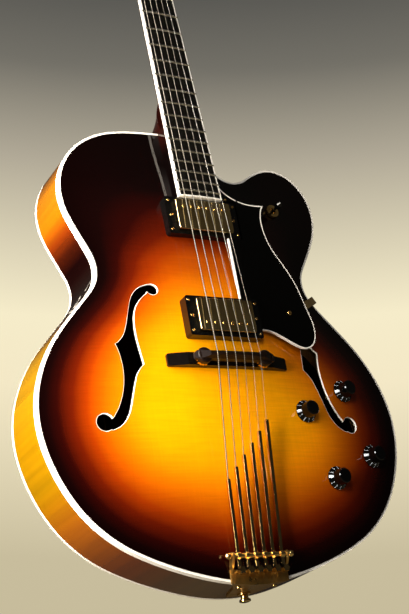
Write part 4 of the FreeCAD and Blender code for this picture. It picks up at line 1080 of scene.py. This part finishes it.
@dataclass
class Pickups:
    """Two covered pickups in their rings, with pole, ring and height screws.

    Attributes:
        pole_pitch: spacing of the pole screws, in millimetres.
        pole_offset: of the pole row from the cover's centre line, in millimetres.
        pole_head: radius, height and slot of a pole screw, in millimetres.
        pole_sink: of its foot into the cover, in millimetres.
        ring_head: radius and height of a ring screw, in millimetres.
        ring_screw_span: spacing of the ring screws along X and Z, in millimetres.
        height_head: radius, height and slot of a height screw, in millimetres.
        height_screw_x: place of the height screws, in millimetres.
        ring_sink: of the screws' feet into the ring, in millimetres.
        pole_turn: turn of the first pole screw, in radians; each further one is turned by one more.
        height_turn: turn of the height screws, in radians, each to its side.
        ring_turn: what the upper ring screws are turned by more and the lower ones less, in radians.
    """

    pole_pitch: float = 10.0
    pole_offset: float = 9.5
    pole_head: tuple[float, float, float] = (2.4, 0.9, 0.7)
    pole_sink: float = 0.3
    ring_head: tuple[float, float] = (1.5, 1.1)
    ring_screw_span: tuple[float, float] = (83.0, 36.0)
    height_head: tuple[float, float, float] = (1.7, 1.0, 0.6)
    height_screw_x: float = 39.6
    ring_sink: float = 0.1
    pole_turn: float = 0.4
    height_turn: float = 0.7
    ring_turn: float = 0.6

    def build(self) -> None:
        """Screws of both pickups, each turned its own way, and the finishes of their solids."""
        poles = []
        corners = []
        heights = []
        for (low, high), side in zip(PICKUP_SPANS, (-1, 1)):
            cover_low, cover_high = vertices_between("pickup_covers", low, high)
            ring_y = vertices_between("pickup_rings", low, high)[0].y + self.ring_sink * MM
            middle = (cover_low.z + cover_high.z) / 2
            for number in range(STRING_COUNT):
                x = (number - (STRING_COUNT - 1) / 2) * self.pole_pitch * MM
                spot = Vector((x, cover_low.y + self.pole_sink * MM, middle + side * self.pole_offset * MM))
                poles.append(facing(spot, FRONT, self.pole_turn + number))
            for across in (-1, 1):
                spot = Vector((across * self.height_screw_x * MM, ring_y, middle))
                heights.append(facing(spot, FRONT, self.height_turn * across))
                for up in (-1, 1):
                    spot = Vector((across * self.ring_screw_span[0] / 2 * MM, ring_y,
                                   middle + up * self.ring_screw_span[1] / 2 * MM))
                    corners.append(facing(spot, FRONT, across + up * self.ring_turn))
        for name, head, places in (("pole_screws", slotted_screw(*self.pole_head), poles),
                                   ("ring_screws", cross_screw(*self.ring_head), corners),
                                   ("height_screws", slotted_screw(*self.height_head), heights)):
            settle(stamp(head, places, name), GOLD, "body")
        dress(RING_PLASTIC, "pickup_rings", "pickup_coils")
        dress(COVER_GOLD, "pickup_covers")


@dataclass
class Bridge:
    """Floating bridge."""

    def build(self) -> None:
        """Ebony base and saddle on gold posts and wheels."""
        dress(BRIDGE_EBONY, "bridge_base")
        dress(SADDLE_EBONY, "bridge_saddle")
        dress(GOLD, "bridge_posts", "thumbwheel_bass", "thumbwheel_treble")


@dataclass
class Tailpiece:
    """Finger tailpiece, strap button and the tail plate's screws.

    Attributes:
        finger_bevel: width of the polished edges of a finger, in millimetres.
        plate_bevel: width of the polished edges of the tail plate, in millimetres.
        flat_angle: between faces that count as one flat, in degrees.
        edge_angle: from which an edge is polished round, in degrees.
        screw_head: radius and height of the plate's screws, in millimetres.
        screw_sink: of their feet into the plate, in millimetres.
        screws: their places along X and Y, in millimetres.
    """

    finger_bevel: float = 0.5
    plate_bevel: float = 0.6
    flat_angle: float = 1.0
    edge_angle: float = 50.0
    screw_head: tuple[float, float] = (2.9, 1.9)
    screw_sink: float = 0.9
    screws: tuple[tuple[float, float], ...] = ((-21.0, -26.0), (21.0, -26.0))

    def polish(self, node: str, body: str, width: float, finish: Finish) -> None:
        """Copy a plated solid with its edges polished round, so that they catch the light as bright lines.

        Args:
            node: name of the solid.
            body: the body that it moves with.
            width: of the rounded edges, in millimetres.
            finish: what it is dressed in.
        """
        bar = merged_copy(node, "polished_" + node)
        drop_normals(bar)
        with editing(bar):
            bpy.ops.mesh.dissolve_limited(angle_limit=math.radians(self.flat_angle))
        apply_modifier(bar, "BEVEL", width=width * MM, segments=2, limit_method="ANGLE",
                       angle_limit=math.radians(self.edge_angle))
        smooth(bar, self.edge_angle)
        settle(bar, finish, body, node)

    def build(self) -> None:
        """Gold finish on the tail hardware, and the screws of its plate."""
        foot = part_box("tail_plate")[0].z + self.screw_sink * MM
        places = [facing(Vector((x * MM, y * MM, foot)), TAILWARD, x) for x, y in self.screws]
        settle(stamp(cross_screw(*self.screw_head), places, "plate_screws"), GOLD, "body")
        self.polish("tail_plate", "body", self.plate_bevel, BRUSHED_GOLD)
        dress(GOLD, "tail_rod", "strap_button")
        for number in range(1, STRING_COUNT + 1):
            finger = f"tailpiece_finger_{number}"
            self.polish(finger, finger, self.finger_bevel, GOLD)
            dress(GOLD, f"fine_tune_screw_{number}")


@dataclass
class FingerRest:
    """Raised finger rest with a white edge, and its screws.

    Attributes:
        edge: width of the white line on its face, in millimetres.
        notch_reach: how far from a pickup ring the edge stays black, in millimetres.
        screws: places of its screws along X and Z, in millimetres, with their head radius.
        screw_sink: of their feet into the rest, in millimetres.
        screw_rise: height of their heads, as a share of the radius.
        screw_turn: turn of their recesses, in radians.
    """

    edge: float = 1.3
    notch_reach: float = 3.0
    screws: tuple[tuple[float, float, float], ...] = ((88.0, 290.0, 2.6), (33.0, 427.6, 1.6))
    screw_sink: float = 0.05
    screw_rise: float = 0.5
    screw_turn: float = 0.5

    def in_notch(self, spot: Vector, rings: Sequence[tuple[Vector, Vector]]) -> bool:
        """Whether a spot is on the cut-out round a pickup ring, which has no white edge.

        Args:
            spot: a place on the rest.
            rings: lowest and highest corner of each ring.

        Returns:
            True if it is.
        """
        reach = self.notch_reach * MM
        return any(low.x - reach < spot.x < high.x + reach and low.z - reach < spot.z < high.z + reach
                   for low, high in rings)

    def build(self) -> None:
        """Rest with its inset white line, and the screws."""
        rest = merged_copy("pickguard", "finger_rest")
        drop_normals(rest)
        rest.data.materials.append(BINDING.material())
        rest.data.materials.append(REST_PLASTIC.material())
        pick_faces(rest, lambda face: abs(face.normal.y) > SQUARE_ON)
        bpy.ops.mesh.inset(thickness=self.edge * MM, depth=0.0, use_even_offset=True)
        bpy.ops.object.mode_set(mode="OBJECT")
        rings = [vertices_between("pickup_rings", *span) for span in PICKUP_SPANS]
        for face in rest.data.polygons:
            face.material_index = int(face.select or self.in_notch(face.center, rings))
        smooth(rest, angle=30.0)
        settle(rest, REST_PLASTIC, "body", "pickguard")
        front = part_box("pickguard")[0].y + self.screw_sink * MM
        for number, (x, z, radius) in enumerate(self.screws, 1):
            place = facing(Vector((x * MM, front, z * MM)), FRONT, self.screw_turn)
            head = cross_screw(radius, radius * self.screw_rise)
            head = stamp(head, [place], f"rest_screw_{number}")
            settle(head, GOLD, "body")
        dress(GOLD, "pickguard_bracket")


@dataclass
class Controls:
    """Knobs with their dials, switch and jack.

    Attributes:
        knobs: their names.
        skirt: radius and height of the skirt's slope at its foot and at its top, in millimetres.
        numerals: how many numbers a dial has.
        step: turn between two numbers, in degrees.
        numeral_size: height of the lettering, in millimetres.
        numeral_relief: of the lettering to each side of the slope, in millimetres.
        numeral_share: how far up the slope the lettering stands.
        tick: width, length and thickness of a tick, in millimetres.
        tick_bevel: width of its rounded edges, in millimetres.
        tick_share: how far up the slope the ticks stand.
    """

    knobs: tuple[str, ...] = ("knob_neck_volume", "knob_bridge_volume", "knob_neck_tone", "knob_bridge_tone")
    skirt: tuple[tuple[float, float], tuple[float, float]] = ((12.6, 2.4), (8.8, 5.8))
    numerals: int = 11
    step: float = 30.0
    numeral_size: float = 3.1
    numeral_relief: float = 0.06
    numeral_share: float = 0.58
    tick: tuple[float, float, float] = (0.5, 1.5, 0.12)
    tick_bevel: float = 0.04
    tick_share: float = 0.13

    def on_skirt(self, share: float, turn: float) -> Matrix:
        """Place on the skirt's slope, with Y up the slope and Z out of it.

        Args:
            share: how far up the slope.
            turn: round the knob, in degrees.

        Returns:
            The place as a matrix.
        """
        (wide, low), (narrow, high) = self.skirt
        point = Vector((wide + (narrow - wide) * share, 0, low + (high - low) * share)) * MM
        slope = Vector((narrow - wide, 0, high - low)).normalized()
        out = Vector((slope.z, 0, -slope.x))
        side = slope.cross(out)
        flat = Matrix((side, slope, out)).transposed().to_4x4()
        return Matrix.Rotation(math.radians(turn), 4, "Z") @ Matrix.Translation(point) @ flat

    def numeral(self, number: int) -> bpy.types.Object:
        """Model one number of the dial at the origin, facing Z.

        Args:
            number: what it says.

        Returns:
            The model.
        """
        deselect()
        bpy.ops.object.text_add()
        text = bpy.context.object.data
        text.body = str(number)
        text.size = self.numeral_size * MM
        text.align_x = "CENTER"
        text.align_y = "CENTER"
        text.extrude = self.numeral_relief * MM
        text.resolution_u = 3
        bpy.ops.object.convert(target="MESH")
        return bpy.context.object

    def tick_mark(self) -> bpy.types.Object:
        """Model one tick of the dial at the origin, facing Z.

        Returns:
            The model.
        """
        deselect()
        bpy.ops.mesh.primitive_cube_add(size=MM)
        tick = bpy.context.object
        bpy.ops.transform.resize(value=self.tick)
        bpy.ops.object.transform_apply(scale=True)
        pick_faces(tick, lambda face: face.normal.z > SQUARE_ON)
        bpy.ops.mesh.bevel(offset=self.tick_bevel * MM, segments=1, affect="EDGES")
        bpy.ops.object.mode_set(mode="OBJECT")
        return tick

    def dial(self) -> bpy.types.Object:
        """Model the ticks and numerals of one knob round the origin, along Z.

        Returns:
            The model.
        """
        pieces = []
        for number in range(self.numerals):
            for piece, share in ((self.numeral(number), self.numeral_share),
                                 (self.tick_mark(), self.tick_share)):
                piece.data.transform(self.on_skirt(share, number * self.step))
                pieces.append(piece)
        activate(pieces)
        bpy.ops.object.join()
        return bpy.context.object

    def build(self) -> None:
        """Dials of the knobs, and the finishes of the controls."""
        model = self.dial()
        for knob in self.knobs:
            joint = JOINTS[knob + "_turn"]
            place = facing(Vector(joint["pos_m"]), Vector(joint["axis"]).normalized())
            copy = new_piece("dial_model", model.data.copy())
            settle(stamp(copy, [place], knob.replace("knob", "dial")), PRINT, knob)
        bpy.data.objects.remove(model)
        dress(BLACK_PLASTIC, *self.knobs, "toggle_lever")
        dress(GOLD, "output_jack", "control_housings")


@dataclass
class Strings:
    """Six strings, four of them wound.

    Attributes:
        wound: number of wound strings, counted from the bass side.
        spread_end: height below which the strings are told apart by their place across, in millimetres.
    """

    wound: int = 4
    spread_end: float = 230.0

    def bass_edge(self, piece: bpy.types.Object) -> float:
        """Place of a string across the tail end."""
        return min(corner.co.x for corner in piece.data.vertices if corner.co.z < self.spread_end * MM)

    def build(self) -> None:
        """Each string as its own piece."""
        with editing(merged_copy("strings", "string")):
            bpy.ops.mesh.separate(type="LOOSE")
        parts = [piece for piece in bpy.context.selected_objects if piece.type == "MESH"]
        for number, piece in enumerate(sorted(parts, key=self.bass_edge), 1):
            piece.name = f"string_{number}"
            finish = WOUND_STRING if number <= self.wound else PLAIN_STRING
            settle(piece, finish, "body", "strings")


class Reach(Enum):
    """Whether a lamp lights its listed pieces alone, or all but those."""

    ALONE = "INCLUDE"
    ALL_BUT = "EXCLUDE"


@dataclass(frozen=True)
class Lamp:
    """Soft box.

    Attributes:
        name: of the lamp.
        spot: where it stands, in metres.
        size: its width and height, in metres.
        power: in watts.
        tint: its colour.
        aim: what it looks at, in metres; the bass side of the lower bout if left out.
        spread: angle that its light fills, in degrees.
        mirrored: whether it shows in polished surfaces.
        reach: how the list of pieces is meant.
        pieces: how the names of the listed pieces start.
    """

    name: str
    spot: tuple[float, float, float]
    size: tuple[float, float]
    power: float
    tint: str = "fff4e4"
    aim: tuple[float, float, float] = (-0.15, -0.03, 0.20)
    spread: float = 180.0
    mirrored: bool = True
    reach: Reach = Reach.ALL_BUT
    pieces: tuple[str, ...] = ("studio_floor",)

    def hang(self) -> None:
        """Put the lamp into the scene and list what it lights."""
        data = bpy.data.lights.new(self.name, "AREA")
        data.shape = "RECTANGLE"
        data.size, data.size_y = self.size
        data.energy = self.power
        data.color = linear(self.tint)[:3]
        data.spread = math.radians(self.spread)
        lamp = bpy.data.objects.new(self.name, data)
        bpy.context.scene.collection.objects.link(lamp)
        way = Vector(self.aim) - Vector(self.spot)
        turn = way.to_track_quat("-Z", "Y").to_matrix().to_4x4()
        lamp.matrix_world = Matrix.Translation(Vector(self.spot)) @ turn
        lamp.visible_camera = False
        lamp.visible_glossy = self.mirrored
        receivers = bpy.data.collections.new(self.name + "_receivers")
        for piece in bpy.data.objects:
            if piece.type == "MESH" and piece.name.startswith(self.pieces):
                receivers.objects.link(piece)
        for entry in receivers.collection_objects:
            entry.light_linking.link_state = self.reach.value
        lamp.light_linking.receiver_collection = receivers


@dataclass
class Studio:
    """Camera at the photographed angle, soft studio light and a pale floor.

    The strip lights the bass side, the catch lamp gives small gleams, and the bounce and the fill light the
    tail and the back. The ceiling lights the floor alone. The head lamp leaves the board and the top black
    beside the bright wires, which have their own lamp, and the knob lamp gives every knob's skirt its gleam.

    Attributes:
        eye: where the camera stands, in metres.
        ahead: its viewing direction.
        up: its upward direction.
        focal: focal length as a share of the image's long side.
        floor_z: height of the floor, in metres.
        floor_radius: of the round floor, in metres.
        seen: share of the height, leaning with the tilted camera, with the colour that it sees there.
        lean: direction along which that height is measured.
        lit: share from straight down to straight up, with the colour that lights and mirrors there: pale
            below, then a dark band, and dim above.
        lamps: the soft boxes.
    """

    eye: tuple[float, float, float] = (-0.6686, -1.0644, -0.2261)
    ahead: tuple[float, float, float] = (0.4968, 0.7723, 0.3959)
    up: tuple[float, float, float] = (-0.0578, -0.4258, 0.9030)
    focal: float = 1229.6 / 614
    floor_z: float = -0.42
    floor_radius: float = 6.0
    seen: tuple[tuple[float, str], ...] = (
        (0.0, "c0b594"), (0.30, "c8bd9d"), (0.43, "f4e8c6"), (0.48, "f6ecca"), (0.59, "b0a896"),
        (0.65, "737067"), (0.70, "555450"), (1.0, "4c4b48"))
    lean: tuple[float, float, float] = (0.19, 0.0, 1.0)
    lit: tuple[tuple[float, str], ...] = (
        (0.0, "857b64"), (0.30, "6a6250"), (0.42, "2a2825"), (0.61, "2a2825"), (0.70, "454139"),
        (0.81, "4c4942"), (1.0, "343331"))
    lamps: tuple[Lamp, ...] = (
        Lamp("strip_lamp", (-0.46, -0.17, 0.30), (0.16, 0.8), 16.0),
        Lamp("catch_lamp", (-0.43, -0.85, 0.37), (0.2, 0.2), 2.0, "ffffff"),
        Lamp("floor_bounce", (0.20, 0.30, -0.40), (0.9, 0.9), 4.0, "fff0d8", mirrored=False),
        Lamp("back_fill", (0.90, 0.80, 0.75), (0.8, 0.8), 14.0, mirrored=False),
        Lamp("ceiling_lamp", (0.3, -0.3, 6.0), (9.0, 9.0), 420.0, reach=Reach.ALONE),
        Lamp("head_lamp", (-0.55, -0.75, 1.25), (0.4, 0.4), 1.0, aim=(0.0, 0.0, 0.95), spread=50.0,
             pieces=("studio_floor", "top_plate_burst", "fretboard")),
        Lamp("knob_lamp", (-0.43, -0.85, 0.37), (0.34, 0.34), 15.0, "ffffff", aim=(0.13, -0.04, 0.15),
             reach=Reach.ALONE, pieces=("knob_", "dial_")),
        Lamp("wire_lamp", (-0.55, -0.75, 1.20), (0.6, 0.6), 13.0, "ffffff", aim=(0.0, 0.0, 0.70), spread=70.0,
             reach=Reach.ALONE, pieces=("string_",)))

    def camera(self) -> None:
        """Camera in the photograph's place."""
        data = bpy.data.cameras.new("studio_camera")
        data.sensor_width = 36.0
        data.lens = self.focal * data.sensor_width
        data.clip_start = 0.01
        camera = bpy.data.objects.new("studio_camera", data)
        bpy.context.scene.collection.objects.link(camera)
        back = -Vector(self.ahead).normalized()
        right = Vector(self.up).cross(back).normalized()
        turn = Matrix((right, back.cross(right), back)).transposed().to_4x4()
        camera.matrix_world = Matrix.Translation(Vector(self.eye)) @ turn
        bpy.context.scene.camera = camera

    def surroundings(self) -> None:
        """Pale surroundings for the camera, and dim ones for the light and the reflections."""
        world = bpy.data.worlds.new("studio_surroundings")
        world.use_nodes = True
        tree = world.node_tree
        tree.nodes.clear()
        spot = add(tree, "ShaderNodeTexCoord").outputs["Generated"]
        level = add(tree, "ShaderNodeVectorMath", {0: spot, 1: self.lean}, operation="DOT_PRODUCT")
        seen = add(tree, "ShaderNodeValToRGB", {"Fac": level.outputs["Value"]}, stops=self.seen)
        axes = add(tree, "ShaderNodeSeparateXYZ", {"Vector": spot})
        height = add(tree, "ShaderNodeMapRange", {"Value": axes.outputs["Z"], 1: -1.0, 2: 1.0})
        lit = add(tree, "ShaderNodeValToRGB", {"Fac": height.outputs["Result"]}, stops=self.lit)
        path = add(tree, "ShaderNodeLightPath")
        lights = [add(tree, "ShaderNodeBackground", {"Color": ramp.outputs["Color"], "Strength": 1.0})
                  for ramp in (lit, seen)]
        mix = add(tree, "ShaderNodeMixShader", {0: path.outputs["Is Camera Ray"],
                                                1: lights[0].outputs["Background"],
                                                2: lights[1].outputs["Background"]})
        add(tree, "ShaderNodeOutputWorld", {"Surface": mix.outputs["Shader"]})
        bpy.context.scene.world = world
        bpy.context.scene.view_settings.view_transform = "Standard"

    def floor(self) -> None:
        """Plain pale floor, which neither mirrors in the lacquer nor tints it."""
        deselect()
        bpy.ops.mesh.primitive_circle_add(vertices=96, radius=self.floor_radius, fill_type="NGON",
                                          location=(0, 0, self.floor_z))
        ground = bpy.context.object
        ground.name = "studio_floor"
        ground.data.materials.append(FLOOR_PAINT.material())
        ground.visible_glossy = False
        ground.visible_diffuse = False

    def build(self) -> None:
        """Camera, surroundings, floor and lamps."""
        self.camera()
        self.surroundings()
        self.floor()
        for lamp in self.lamps:
            lamp.hang()


def main() -> None:
    """Build every sub-assembly and the studio."""
    logging.basicConfig(level=logging.INFO, format="%(message)s")
    for assembly in (SoundBox(), NeckAndHead(), TuningMachines(), Pickups(), Bridge(), Tailpiece(),
                     FingerRest(), Controls(), Strings(), Studio()):
        LOG.info("building %s", type(assembly).__name__)
        assembly.build()


if __name__ == "__main__":
    main()
